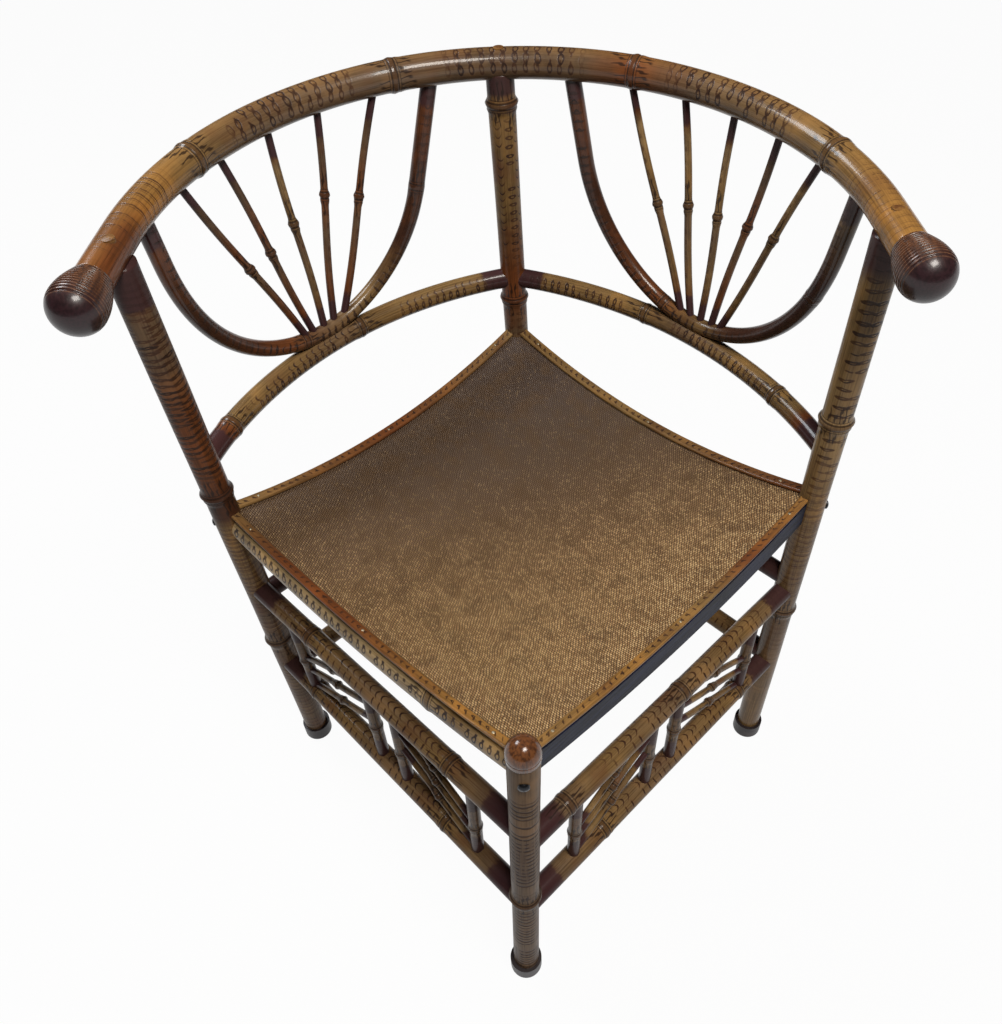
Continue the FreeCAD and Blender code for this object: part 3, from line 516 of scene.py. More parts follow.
# %% The bamboo finish
def scorched(name, rows, stain=SINGED, mottle=0.35, gloss=0.24, band=(7.2, 0.75), crown_highlight=0.0, dipped=38,
             varnish=1.0):
    """A bamboo finish. The scorch attribute says how strong marks, bands and smoke are at each place.

    rows: (motif, middle in degrees round the stem, half width round it, half length along it, pitch), in
    millimetres. band: the bands' pitch and width. crown_highlight: how strong the painted highlight along
    the stem's crown is. dipped: how far in its ends are stained. mottle: how much of the stain is in the
    blotches. varnish: how much is left of it.
    """
    material, shader, start = new_finish(
        name, gloss, coat=0.24 * varnish, coat_roughness=0.08, shine=0.2 * varnish)
    lie, ground = attribute(start, "lie"), attribute(start, "tone")
    node_gap, node_side, end_gap = attribute(start, "gaps").parts()
    mark_share, band_share, smoke_share = attribute(start, "scorch").parts()
    x, y, z = lie.parts()
    turn = y.math("ARCTAN2", y, x)
    size, along = hypotenuse(x, y) * 1000, z * 1000
    soft, waver = noise(lie, 26, 3), noise(lie, 110, 2)
    fine = noise(vector(x * 900, y * 900, z * 22), 1.0, 3)
    streak = noise(vector(x * 300, y * 300, z * 16), 1.0, 4)
    speck = noise(vector(x * 1500, y * 1500, z * 500), 1.0, 1)

    colour = blend(ground, (0.02, 0.01, 0.006), fine.step(0.62, 0.30) * 0.5)
    pale = ground.node("ShaderNodeMix", {"data_type": "RGBA", "blend_type": "MULTIPLY"},
                       {0: 1.0, 6: ground, 7: (1.7, 1.5, 1.2, 1)}, 2)
    colour = blend(colour, pale, soft.step(0.45, 0.72) * 0.55)
    # Painted highlight: a honey-coloured stripe along the crown, a little to the outer side, where the lamps
    # catch the varnish.
    if crown_highlight:
        colour = blend(colour, HONEY, within(turn - math.radians(20), 0.9) * (0.4 + fine * 0.6) * crown_highlight)
    colour = blend(colour, stain, soft.step(0.5, 0.3) * mottle)
    colour = blend(colour, BURN, smoke_share * (soft * 0.6 + waver * 0.5).step(0.38, 0.72))

    marks = mark_share * 0
    shifted = along + (waver - 0.5) * 3.2 + (soft - 0.5) * 6
    for number, (motif, middle, half, reach, pitch) in enumerate(rows):
        centred = turn - math.radians(middle)
        round_ = centred.math("WRAP", centred, math.pi, -math.pi) * size
        marks = larger(marks, row_of(motif, round_, shifted, half, reach, pitch, number * 7.3))
    clear = node_gap.step(8, 14)
    marks = marks * mark_share * clear
    bands = bands_round(along, (waver - 0.5) * 4 + turn.math("COSINE", turn) * 1.6, *band, 3.7)
    bands = bands * band_share * clear * (streak * 0.7 + soft * 0.5).step(0.4, 0.62)
    node_lines = larger(within(node_gap - GROOVE_GAP, 0.9) * 0.9, within(node_gap - 5.4, 0.6) * 0.6)
    crest = node_gap.step(3.4, 1.2)
    ends = (end_gap + (waver - 0.5) * 14 + (streak - 0.5) * 6).step(dipped, dipped - 5) * 0.92

    colour = blend(colour, stain, (marks + bands).step(0.02, 0.6) * 0.6)
    colour = blend(colour, (0.055, 0.024, 0.014), crest * 0.6)
    colour = blend(colour, PURPLE, ends * smoke_share.step(0.0, 0.15))
    colour = blend(colour, BURN, tails(turn * size, along, node_gap, node_side) * 0.85)
    dark = larger(larger(marks, bands), node_lines)
    colour = blend(colour, BURN, dark * 0.94)
    height = fine * 0.25 + speck * 0.08 - dark * 0.5 + soft * 0.5
    finish_with(shader, colour, gloss + fine * 0.1 + dark * 0.12 - crest * 0.06, height, 0.0004)
    return material


print("the bamboo finish is ready")

# %% [markdown]
# The rows differ from stem to stem. The arm rail's links stand three deep on its inner side, the left leg has
# thin ovals close together, the right leg flat ones in two columns, and the facing a row of tall dark loops.

# %% The finishes of this chair's stems
bamboo = scorched("scorched bamboo", [
    (hoop, 0, 4.6, 1.9, 8.6), (stroke, 52, 4.4, 0.9, 8.6), (stroke, -52, 4.4, 0.9, 8.6)],
    mottle=0.5, varnish=0.35)
# The arm rail's finish has a painted highlight along its crown.
arm_bamboo = scorched("arm bamboo", [
    (link, -14, 4.4, 2.4, 10.6), (link, -50, 4.8, 2.6, 10.6), (link, -88, 4.4, 2.2, 10.6),
    (stroke, -32, 3.4, 1.0, 10.6), (stroke, -70, 3.6, 1.0, 10.6), (stroke, 60, 8.0, 0.6, 14.0)], crown_highlight=0.5)
hoop_bamboo = scorched("dark mottled bamboo", [
    (stroke, 0, 6.5, 1.1, 8.6), (hoop, 0, 3.4, 1.6, 8.6)], stain=CHOCOLATE, mottle=0.6, dipped=24)
low_bamboo = scorched("low rail bamboo", [
    (link, -6, 3.4, 1.5, 8.2), (link, 34, 3.4, 1.5, 8.2), (hoop, -46, 3.2, 1.2, 8.2),
    (stroke, 14, 2.4, 0.8, 8.2)], mottle=0.25)
thin_bamboo = scorched("thin bamboo", [
    (stroke, 0, 1.2, 2.4, 11.0)], mottle=0.5, gloss=0.28, dipped=24, varnish=0.5)
trim_bamboo = scorched("trim bamboo", [
    (stroke, 84, 2.6, 0.75, 8.2), (hoop, 70, 1.6, 1.6, 8.2)], mottle=0.5, gloss=0.3, varnish=0.5)
facing_bamboo = scorched("pale bamboo", [
    (link, 16, 3.6, 2.2, 8.8), (stroke, 30, 2.0, 1.5, 8.8), (link, -22, 2.8, 1.7, 8.8)],
    stain=CHOCOLATE, mottle=0.3, varnish=0.5)
LEG_FINISH = {
    "front": scorched("banded bamboo", [
        (link, 0, 3.6, 1.8, 8.0), (hoop, 50, 3.2, 1.6, 8.0), (hoop, -50, 3.2, 1.6, 8.0)],
        stain=CHOCOLATE, band=(7.0, 1.55), varnish=0.12),
    "left": scorched("ringed bamboo", [
        (link, 0, 6.0, 1.1, 6.4), (link, 62, 6.0, 1.1, 6.9), (link, -62, 6.0, 1.1, 6.0),
        (stroke, 30, 4.0, 0.7, 6.4), (stroke, -34, 4.4, 0.7, 6.1)], mottle=0.6, varnish=0.3),
    "right": scorched("ovals on bamboo", [
        (link, 22, 5.2, 1.5, 9.5), (link, -26, 5.2, 1.5, 9.5), (stroke, -26, 4.2, 0.7, 9.5),
        (link, 72, 4.2, 1.4, 10.4)], mottle=0.2, varnish=0.5),
    "back": scorched("hooked bamboo", [
        (link, 24, 3.4, 1.6, 8.8), (hoop, -24, 3.6, 1.8, 8.2), (hoop, 62, 3.2, 1.5, 9.6)],
        mottle=0.75, varnish=0.4),
}
print("bamboo finishes:", 7 + len(LEG_FINISH), "of about", len(bamboo.node_tree.nodes), "nodes each")

# %% [markdown]
# ## Legs
# Three legs run from the floor to the arm rail and the front one stops at the seat. Their colours and marks
# change from foot to top. The front leg is banded, the left one dark and reddish above the seat, the right
# one pale with clear ovals, and the back one smoked between its two upper nodes.

# %% Make the legs
LEG_DIAMETER = 26.5
LEG_TOP = {"front": 434.0, "left": 698.5, "right": 698.5, "back": 712.7}
LEG_NODES = {"front": (0.42,), "left": (0.306, 0.648), "right": (0.362, 0.743), "back": (0.311, 0.656, 0.96)}
LEG_TONE = {
    "front": [(0.8, DULL_BROWN), (1, GREY_BROWN)],
    "left": [(0.42, GREY_BROWN), (0.5, OLIVE), (0.59, OLIVE), (0.61, CHOCOLATE), (0.65, CHOCOLATE),
             (0.68, RED_BROWN), (0.8, RED_BROWN), (0.88, DULL_BROWN), (1, GREY_BROWN)],
    "right": [(0, OLIVE), (0.3, GREY_BROWN), (0.6, OLIVE), (0.74, PALE_OLIVE), (0.95, OLIVE),
              (1, GREY_BROWN)],
    "back": [(0.6, GREY_BROWN), (0.66, RED_BROWN), (0.72, RED_BROWN), (0.8, OLIVE)],
}
LEG_SCORCH = {
    "front": [(0, (0, 1, 0)), (0.36, (0, 0.9, 0)), (0.42, (1, 0, 0)), (0.5, (0, 0.4, 0)), (0.56, (0, 1, 0)),
              (0.86, (0, 1, 0)), (0.9, (0, 0, 0))],
    "left": [(0, (0, 0.8, 0)), (0.45, (0.4, 0.9, 0)), (0.56, (0.5, 0.2, 0.1)), (0.66, (0, 0.1, 0.3)),
             (0.7, (1, 0.2, 0.1)), (0.9, (1, 0.1, 0.2)), (1, (0, 0, 0.5))],
    "right": [(0, (0, 0, 0)), (0.3, (0.2, 0.4, 0.1)), (0.5, (0.3, 0.9, 0)), (0.62, (0.4, 0.2, 0)),
              (0.76, (1, 0, 0)), (0.94, (1, 0, 0)), (1, (0.3, 0, 0.3))],
    "back": [(0, (0, 0.4, 0)), (0.6, (0.6, 0.2, 0.2)), (0.7, (0.2, 0, 0.2)), (0.76, (1, 0, 0.6)),
             (0.9, (1, 0, 0.35)), (0.97, (0, 0, 0)), (1, (0, 0, 0.6))],
}
for number, leg in enumerate(CORNER):
    low, high = leg_axis(leg, 4.0), leg_axis(leg, LEG_TOP[leg])
    length = np.linalg.norm(high - low)
    inwards = -np.append(CORNER[leg], 0) if leg == "back" else np.array((0, -1.0, 0))
    surface = stem(np.array((low, high)), LEG_DIAMETER, np.array(LEG_NODES[leg]) * length, inwards,
                   LEG_TONE[leg], LEG_SCORCH[leg], swell=0.2, sides=48, seed=number * 1.7)
    piece(leg + "_leg_stem", [surface], LEG_FINISH[leg], leg + "_leg")
print("legs made")

# %% [markdown]
# ## Arm rail
# One thick stem, steamed and bent to a horseshoe. It runs straight for a short way beyond the circle at both
# ends, splayed by about five degrees. It is golden at the ends and greyer at the back, and its links stand on
# the inner side.

# %% Make the arm rail
ARM_FORWARD = {"left": 34.0, "right": 24.5}
ARM_NODES = np.radians((21.4, 65.2, 110.8, 153.5))
flare = math.radians(ARM_FLARE)


def arm_end(side):
    """The arm's line goes on straight from where it leaves the circle, until it is far enough forward."""
    angle, way = (flare, -1) if side == "right" else (math.pi - flare, 1)
    depth = math.cos(angle)
    heading = way * np.array((-math.sin(angle), depth * math.cos(ARM_TILT), depth * math.sin(ARM_TILT)))
    start_ = arm_point(angle)
    run = (start_[1] - ARM_CENTRE[1] + ARM_FORWARD[side]) / math.cos(flare)
    return start_ + heading * run, heading


circle = arm_point(np.linspace(flare, math.pi - flare, 400))
right_end, left_end = arm_end("right")[0], arm_end("left")[0]
arm_path = np.concatenate(([right_end], circle, [left_end]))
straight = np.linalg.norm(right_end - circle[0])
node_places = straight + (ARM_NODES - flare) * ARM_RADIUS
ARM_TONE = [
    (0.05, HONEY), (0.13, OLIVE), (0.3, GREY_BROWN), (0.37, RED_BROWN), (0.42, GREY_BROWN), (0.5, DULL_BROWN),
    (0.58, GREY_BROWN), (0.62, DULL_BROWN), (0.72, GREY_BROWN), (0.84, OLIVE), (0.9, HONEY), (0.95, RED_BROWN)]
ARM_SCORCH = [
    (0, (0, 0.3, 0)), (0.09, (0, 0.5, 0)), (0.12, (0, 0, 0)), (0.18, (0, 0, 0)), (0.2, (1, 0, 0)),
    (0.31, (1, 0, 0.1)), (0.34, (0, 0, 0.1)), (0.41, (0, 0, 0.3)), (0.43, (1, 0, 0.5)), (0.54, (1, 0, 0.5)),
    (0.56, (0, 0, 0.2)), (0.64, (0, 0, 0)), (0.655, (1, 0, 0)), (0.77, (1, 0, 0.2)), (0.79, (0, 0, 0)),
    (0.86, (0, 0, 0)), (0.88, (0, 0.7, 0)), (0.96, (0, 0.6, 0)), (1, (0, 0, 0))]
arm = stem(arm_path, ARM_DIAMETER, node_places, (0, 0, 1), ARM_TONE, ARM_SCORCH,
           swell=0.09, sides=56, seed=2.3)
piece("arm_rail_stem", [arm], arm_bamboo, "arm_rail")
print("arm rail from", np.round(right_end), "to", np.round(left_end))

# %% [markdown]
# ## Turned knobs and cap
# The two knobs were turned on a lathe: a bulb that swells from the rail to a ball, with fine rings cut side by
# side from the neck to the widest part. The cap on the front leg is a low dome on a straight rim. A turned
# piece is a circle whose radius is a function of the way along its axis, so it is a loft too.

# %% Turned wood
GROOVE_PITCH = 2.9


def turned_wood(name, deep, warm, gloss, cut=0.0):
    """Stained wood under varnish: warm near the rail, deep at the far end, grain along it, painted highlights
    on the ridges between the cuts.
    """
    material, shader, start = new_finish(name, gloss, coat=0.3, coat_roughness=0.14, shine=0.3)
    lie = attribute(start, "lie")
    x, y, z = lie.parts()
    grain = noise(vector(x * 500, y * 500, z * 40), 1.0, 4)
    cloud = noise(lie, 55, 2)
    near = (z * 1000 + (cloud - 0.5) * 16).step(44, 14)
    colour = blend(deep, warm, near)
    wave = z * (1000 / GROOVE_PITCH * 2 * math.pi)
    # Painted highlight: the ridges between the cut rings are painted pale, as strong as cut says.
    ridge_highlights = wave.math("COSINE", wave).step(-0.55, -0.95)
    colour = blend(colour, (0.3, 0.14, 0.07), ridge_highlights * (z * 1000).step(39, 35) * cut)
    colour = blend(colour, (0.012, 0.007, 0.008), grain.step(0.62, 0.35) * 0.6)
    finish_with(shader, colour, gloss + grain * 0.08, grain, 0.0001)
    return material


def turned(radius, along, start, heading):
    """Circles about the heading, of each radius at its place along, closed at both ends."""
    heading = unit(np.asarray(heading, float))
    aside = unit(np.cross(heading, (0.31, 0.17, 0.93)))
    third = np.cross(heading, aside)
    turns = np.linspace(0, 2 * math.pi, 64, endpoint=False)
    around = np.cos(turns)[:, None] * aside + np.sin(turns)[:, None] * third
    loops = start + along[:, None, None] * heading + radius[:, None, None] * around
    lie = together(radius[:, None] * np.cos(turns), radius[:, None] * np.sin(turns), along[:, None])
    return loft(loops, {"lie": lie * MILLIMETRE})


print("turned pieces ready")

# %% [markdown]
# A knob swells from the rail by a quarter of a sine wave and closes as half a ball. The cuts are the upper
# halves of a cosine wave along it. The cap's rim has one fine cut just under the dome.

# %% Knobs and cap
KNOB_START, KNOB_BALL, KNOB_NECK = 14.6, 20.7, 28.0
GROOVE_DEPTH, GROOVES_FROM, GROOVES_TO = 0.75, 2, 37
knob_wood = turned_wood("knob wood", (0.03, 0.013, 0.016), (0.11, 0.042, 0.018), 0.32, cut=0.45)
for side in ("left", "right"):
    start, heading = arm_end(side)
    beyond = KNOB_BALL * np.sin(np.linspace(0.02, math.pi / 2, 120))
    place = np.concatenate((np.linspace(0, KNOB_NECK, 200), KNOB_NECK + beyond))
    swell = KNOB_START + (KNOB_BALL - KNOB_START) * np.sin(np.clip(place / KNOB_NECK, 0, 1) * math.pi / 2)
    ball = np.sqrt(np.clip(1 - (np.maximum(place - KNOB_NECK, 0) / KNOB_BALL) ** 2, 1e-5, 1))
    grooves = GROOVE_DEPTH * np.cos(place / GROOVE_PITCH * 2 * math.pi).clip(0, 1)
    grooves = grooves * (place > GROOVES_FROM) * (place < GROOVES_TO)
    knob = turned(swell * ball - grooves, place, start, heading)
    piece(side + "_knob", [knob], knob_wood, side + "_finial")

cap_wood = turned_wood("cap wood", (0.1, 0.034, 0.014), (0.16, 0.06, 0.022), 0.14)
CAP_RADIUS, CAP_RIM, CAP_DOME, CAP_PEG, PEG_RADIUS = 14.25, 6.0, 15.0, 14.0, 7.0
up = np.linspace(0, 1, 60)
dome_rise = CAP_DOME * np.sin(up[1:] * math.pi / 2)
place = np.concatenate((np.linspace(-CAP_PEG, -0.01, 6), CAP_RIM * up[:20] / up[19], CAP_RIM + dome_rise))
rim = CAP_RADIUS - 0.5 * np.exp(-((place - 5.2) / 0.8) ** 2)
dome = CAP_RADIUS * np.sqrt(np.clip(1 - ((place - CAP_RIM) / CAP_DOME) ** 2, 1e-5, 1))
cap_radius = np.where(place < 0, PEG_RADIUS, np.where(place < CAP_RIM, rim, dome))
cap = turned(cap_radius, place, leg_axis("front", LEG_TOP["front"]), (0, 0, 1))
piece("front_cap", [cap], cap_wood, "front_leg_cap")
print("knobs and cap made")

# %% [markdown]
# ## The back
# Two thin rails bow outwards low in the back, from each side leg to the back leg. A hoop stands on each: half
# an ellipse laid on the slanting surface between the low rail and the arm rail, with both ends let into the
# arm rail. Five thin stems fan out in every hoop.

# %% The lines of the back
LOW_BACK_RISE = {"left": 59.5, "right": 49.5, "back": 62.0}
LOW_BACK_DIAMETER = {"left": 21.5, "right": 20.4}
LOW_BACK_BULGE = {"left": 56.5, "right": 51.8}
HOOP_DROP = {"left": 45.0, "right": 36.5}
HOOP_TURNS = {"left": (0.0, 0.3), "right": (0.2, 0.14)}
HOOP_LEAN = {"left": -4.2, "right": -5.3}
HOOP_CENTRE = {"left": math.radians(138.1), "right": math.radians(44.4)}
HOOP_HALF_WIDTH, HOOP_DIAMETER, HOOP_SEAT = 151.0, 15.6, 4.0
HAND = {"left": 1.0, "right": -1.0}


def low_back_path(leg):
    """The arc from the side leg to the back leg, bowed out level by its bulge."""
    start_ = leg_axis(leg, SEAT_HEIGHT + LOW_BACK_RISE[leg])
    end_ = leg_axis("back", SEAT_HEIGHT + LOW_BACK_RISE["back"])
    chord = end_ - start_
    outwards_ = unit(np.array((-chord[1], chord[0], 0.0))) * HAND[leg]
    return bowed(start_, end_, outwards_ * LOW_BACK_BULGE[leg], 201)


def low_back_point(leg, angle):
    """Where the low rail crosses this angle round the arm's middle, between the two points beside it."""
    path = low_back_path(leg)
    angles = np.arctan2(path[:, 1] - ARM_CENTRE[1], path[:, 0] - ARM_CENTRE[0])
    order = np.argsort(angles)
    return np.stack([np.interp(angle, angles[order], path[order, axis]) for axis in range(3)], axis=-1)


def back_point(leg, angle, height):
    """The straight line from low rail to arm rail at this angle round the arm's middle, at this height."""
    low, high = low_back_point(leg, angle), arm_point(angle)
    return low + (high - low) * ((height - low[..., 2]) / (high[..., 2] - low[..., 2]))[..., None]


def hoop_point(leg, turn_):
    """Half an ellipse, leaning a little, wrapped on the back: across as an angle, and down from its middle."""
    low = low_back_point(leg, HOOP_CENTRE[leg])[2]
    foot_ = low + (LOW_BACK_DIAMETER[leg] + HOOP_DIAMETER) / 2 - HOOP_SEAT
    spring = ARM_HEIGHT - HOOP_DROP[leg]
    off = HOOP_HALF_WIDTH * np.cos(turn_) + HOOP_LEAN[leg] * np.sin(turn_)
    height = spring - (spring - foot_) * np.sin(turn_)
    return back_point(leg, HOOP_CENTRE[leg] + off / ARM_RADIUS, height)


def hoop_path(leg):
    """The half ellipse, cut short at both ends, and a straight run from each up into the arm rail."""
    first, last = HOOP_TURNS[leg]
    path = hoop_point(leg, np.linspace(first, math.pi - last, 300))
    ends_ = []
    for tip, before in ((path[0], path[1]), (path[-1], path[-2])):
        heading_ = unit(tip - before)
        under_arm = arm_point(math.atan2(tip[1] - ARM_CENTRE[1], tip[0] - ARM_CENTRE[0]))[2] - 10
        ends_.append(tip + heading_ * ((under_arm - tip[2]) / heading_[2]))
    return np.concatenate(([ends_[0]], path, [ends_[1]]))


def to_middle(path):
    """From each point, the level way to the chair's middle."""
    return (ARM_CENTRE - path) * (1, 1, 0)


print("hoops' feet:", np.round([hoop_point(leg, np.array(math.pi / 2)) for leg in HAND], 1).tolist())

# %% [markdown]
# The low rails are reddish where they leave the side legs and dark by the back leg. The hoops are the darkest
# stems of all, mottled nearly black, and only their bends are paler.

# %% Low rails and hoops
LOW_BACK_NODES = {"left": (0.12, 0.56), "right": (0.2, 0.62)}
LOW_TONE = [
    (0.1, RED_BROWN), (0.13, OLIVE), (0.35, OLIVE), (0.5, GREY_BROWN), (0.6, OLIVE), (0.9, OLIVE),
    (0.95, CHOCOLATE), (1, PURPLE)]
LOW_SCORCH = [
    (0, (0, 0, 0.6)), (0.1, (0, 0, 0.2)), (0.15, (0.2, 0, 0)), (0.24, (1, 0, 0)), (0.5, (1, 0, 0)),
    (0.55, (0, 0, 0.5)), (0.66, (0, 0, 0)), (0.7, (1, 0, 0)), (0.9, (1, 0, 0)), (1, (0, 0, 0.7))]
HOOP_TONE = {
    "left": [(0, RED_BROWN), (0.2, CHOCOLATE), (0.4, RED_BROWN), (0.5, GREY_BROWN), (0.6, OLIVE),
             (0.72, CHOCOLATE), (1, RED_BROWN)],
    "right": [(0, RED_BROWN), (0.2, CHOCOLATE), (0.42, RED_BROWN), (0.52, OLIVE), (0.6, CHOCOLATE),
              (0.85, PURPLE), (1, OLIVE)],
}
HOOP_SCORCH = [
    (0, (1, 0, 0.5)), (0.12, (1, 0, 0.6)), (0.3, (0.8, 0, 0.6)), (0.42, (1, 0, 0.25)), (0.6, (1, 0, 0.25)),
    (0.72, (0.4, 0, 0.7)), (1, (0.6, 0, 0.6))]
HOOP_NODES = (245.0, 455.0)
for number, leg in enumerate(("left", "right")):
    path = low_back_path(leg)
    places = np.array(LOW_BACK_NODES[leg]) * run_of(path)[-1]
    rail = stem(path, LOW_BACK_DIAMETER[leg], places, to_middle, LOW_TONE, LOW_SCORCH,
                sides=36, seed=4 + number)
    piece("low_back_stem_" + leg, [rail], low_bamboo, "lower_back_rail_" + leg)
    hoop_stem = stem(hoop_path(leg), HOOP_DIAMETER, HOOP_NODES, to_middle, HOOP_TONE[leg], HOOP_SCORCH,
                     swell=0.05, sides=32, seed=6 + number)
    piece(leg + "_hoop_stem", [hoop_stem], hoop_bamboo, leg + "_back_hoop")
print("low rails and hoops made")

# %% [markdown]
# ## Thin stems
# The thin stems are the tips of young bamboo: slightly crooked, with knobby nodes. Each is a stem whose line
# strays a little to one side and back, by a sine that is nothing at both ends.

# %% Back sticks
def crooked(start_, end_, stray, aside, bends):
    """The line from start to end, moved aside by a sine with this many bends."""
    share = np.linspace(0, 1, 60)[:, None]
    sideways = stray * np.sin(share * math.pi * bends) * unit(np.asarray(aside, float))
    return start_ + (end_ - start_) * share + sideways


def hoop_turn(leg, angle):
    """The turn at which the hoop lies at this angle, which undoes hoop_point."""
    share_off = (angle - HOOP_CENTRE[leg]) * ARM_RADIUS / math.hypot(HOOP_HALF_WIDTH, HOOP_LEAN[leg])
    return math.atan2(HOOP_LEAN[leg], HOOP_HALF_WIDTH) + math.acos(share_off)


FAN_DIAMETER, FAN_STRAY = 7.2, 1.3
STICK_TOPS = {"left": (114.0, 125.6, 136.5, 148.0, 158.6), "right": (66.3, 55.4, 44.7, 34.2, 23.5)}
STICK_FEET = {"left": (131.7, 134.4, 137.0, 139.7, 141.7), "right": (47.3, 44.8, 42.3, 39.5, 37.4)}
STICK_NODES = {"left": (0.52, 0.58, 0.52, 0.46, 0.46), "right": (0.47, 0.5, 0.5, 0.52, 0.54)}
STICK_TONE = [(0, CHOCOLATE), (0.06, RED_BROWN), (0.2, OLIVE), (0.45, GREY_BROWN), (0.62, OLIVE),
              (0.85, PALE_OLIVE), (0.9, RED_BROWN), (1, CHOCOLATE)]
DARK_STICK_TONE = [(0, CHOCOLATE), (0.15, RED_BROWN), (0.45, DULL_BROWN), (0.6, RED_BROWN),
                   (0.8, DULL_BROWN), (1, CHOCOLATE)]
DARK_STICKS = {("left", 0), ("left", 1), ("left", 3), ("left", 4), ("right", 3)}
STICK_SCORCH = [(0, (0, 0, 0.9)), (0.3, (0.5, 0, 0.3)), (0.7, (0.5, 0, 0.3)), (1, (0, 0, 0.9))]
for leg in ("left", "right"):
    sticks = zip(STICK_TOPS[leg], STICK_FEET[leg], STICK_NODES[leg])
    for number, (top_angle, foot_angle, node_share) in enumerate(sticks):
        top = arm_point(math.radians(top_angle))
        foot = hoop_point(leg, np.array(hoop_turn(leg, math.radians(foot_angle))))
        along = unit(top - foot)
        stray = FAN_STRAY * (-1) ** number
        line = crooked(foot + along * 5, top - along * 12, stray, np.cross(along, to_middle(top)), 2)
        node_place = node_share * np.linalg.norm(top - foot)
        tone = DARK_STICK_TONE if (leg, number) in DARK_STICKS else STICK_TONE
        stick = stem(line, FAN_DIAMETER, (node_place,), to_middle, tone, STICK_SCORCH,
                     swell=0.5, taper=-0.1, sides=20, seed=9 + number + 5 * HAND[leg])
        piece(f"{leg}_fan_{number + 1}", [stick], thin_bamboo,
              f"{leg}_back_stick_{number + 1}")
print("ten fan sticks made")

# %% [markdown]
# ## Rails, stiles and slanted sticks
# Every side has two rails from leg to leg. On the two front sides four short stiles stand between them. The
# bays on both sides of the middle one have three slanted sticks each. The rails' marks face upwards.

# %% Measures of the side panels
RAIL_SIZE = {"upper": 21.0, "lower": 22.5}
RAIL_HEIGHT = {
    "upper": {"front_left": 308.0, "front_right": 287.0, "back_left": 292.0, "back_right": 300.0},
    "lower": {"front_left": 170.0, "front_right": 158.0, "back_left": 157.0, "back_right": 164.0},
}
RAIL_NODES = {
    "upper": {"front_left": (0.245, 0.767), "front_right": (0.46, 0.87),
              "back_left": (0.33, 0.81), "back_right": (0.28, 0.74)},
    "lower": {"front_left": (0.16, 0.72), "front_right": (0.16, 0.73),
              "back_left": (0.25, 0.79), "back_right": (0.31, 0.82)},
}
RAIL_START = 6.0
STILE_DIAMETER, STILE_BITE, SLANTED_DIAMETER, SLANTED_STRAY = 12.5, 4, 6.6, 1.2
STILE_PLACES, STILE_NODES = (0.146, 0.455, 0.558, 0.831), (0.42, 0.46, 0.44, 0.4)
BAY_STICKS = ((0.45, 1.0), (0.28, 0.76), (0.06, 0.54))
RAIL_TONE = [(0, GREY_BROWN), (0.25, OLIVE), (0.5, GREY_BROWN), (0.75, OLIVE), (0.9, GREY_BROWN),
             (0.95, PURPLE)]
RAIL_SCORCH = [(0, (0, 0, 0.4)), (0.1, (0.5, 0, 0.1)), (0.25, (1, 0, 0)), (0.7, (1, 0, 0)),
               (0.78, (0, 0, 0)), (1, (0, 0, 0.2))]
STILE_TONE = [(0, RED_BROWN), (0.15, GREY_BROWN), (0.8, GREY_BROWN), (1, DULL_BROWN)]
STILE_SCORCH = [(0, (0, 0, 0.7)), (0.3, (0.3, 0, 0.1)), (1, (0.3, 0, 0.2))]


def rail_line(side_, level):
    """Both ends of a side's upper or lower rail, on the axes of its legs."""
    return [leg_axis(leg_, RAIL_HEIGHT[level][side_]) for leg_ in SIDES[side_]]


def stile_point(side_, place_, height):
    """The point of the side's plane at this share of its width, at this height."""
    low_, high_ = ((1 - place_) * a + place_ * b for a, b in
                   (rail_line(side_, "lower"), rail_line(side_, "upper")))
    return low_ + (high_ - low_) * ((height - low_[2]) / (high_[2] - low_[2]))


print("side panel's middle:", np.round(stile_point("front_left", 0.5, RAIL_HEIGHT["lower"]["front_left"])))

# %% [markdown]
# The stiles and the slanted sticks are set out on the plane between a side's two rails, as shares of its width
# and height. The bay nearer the front leg mirrors the one nearer the side leg.

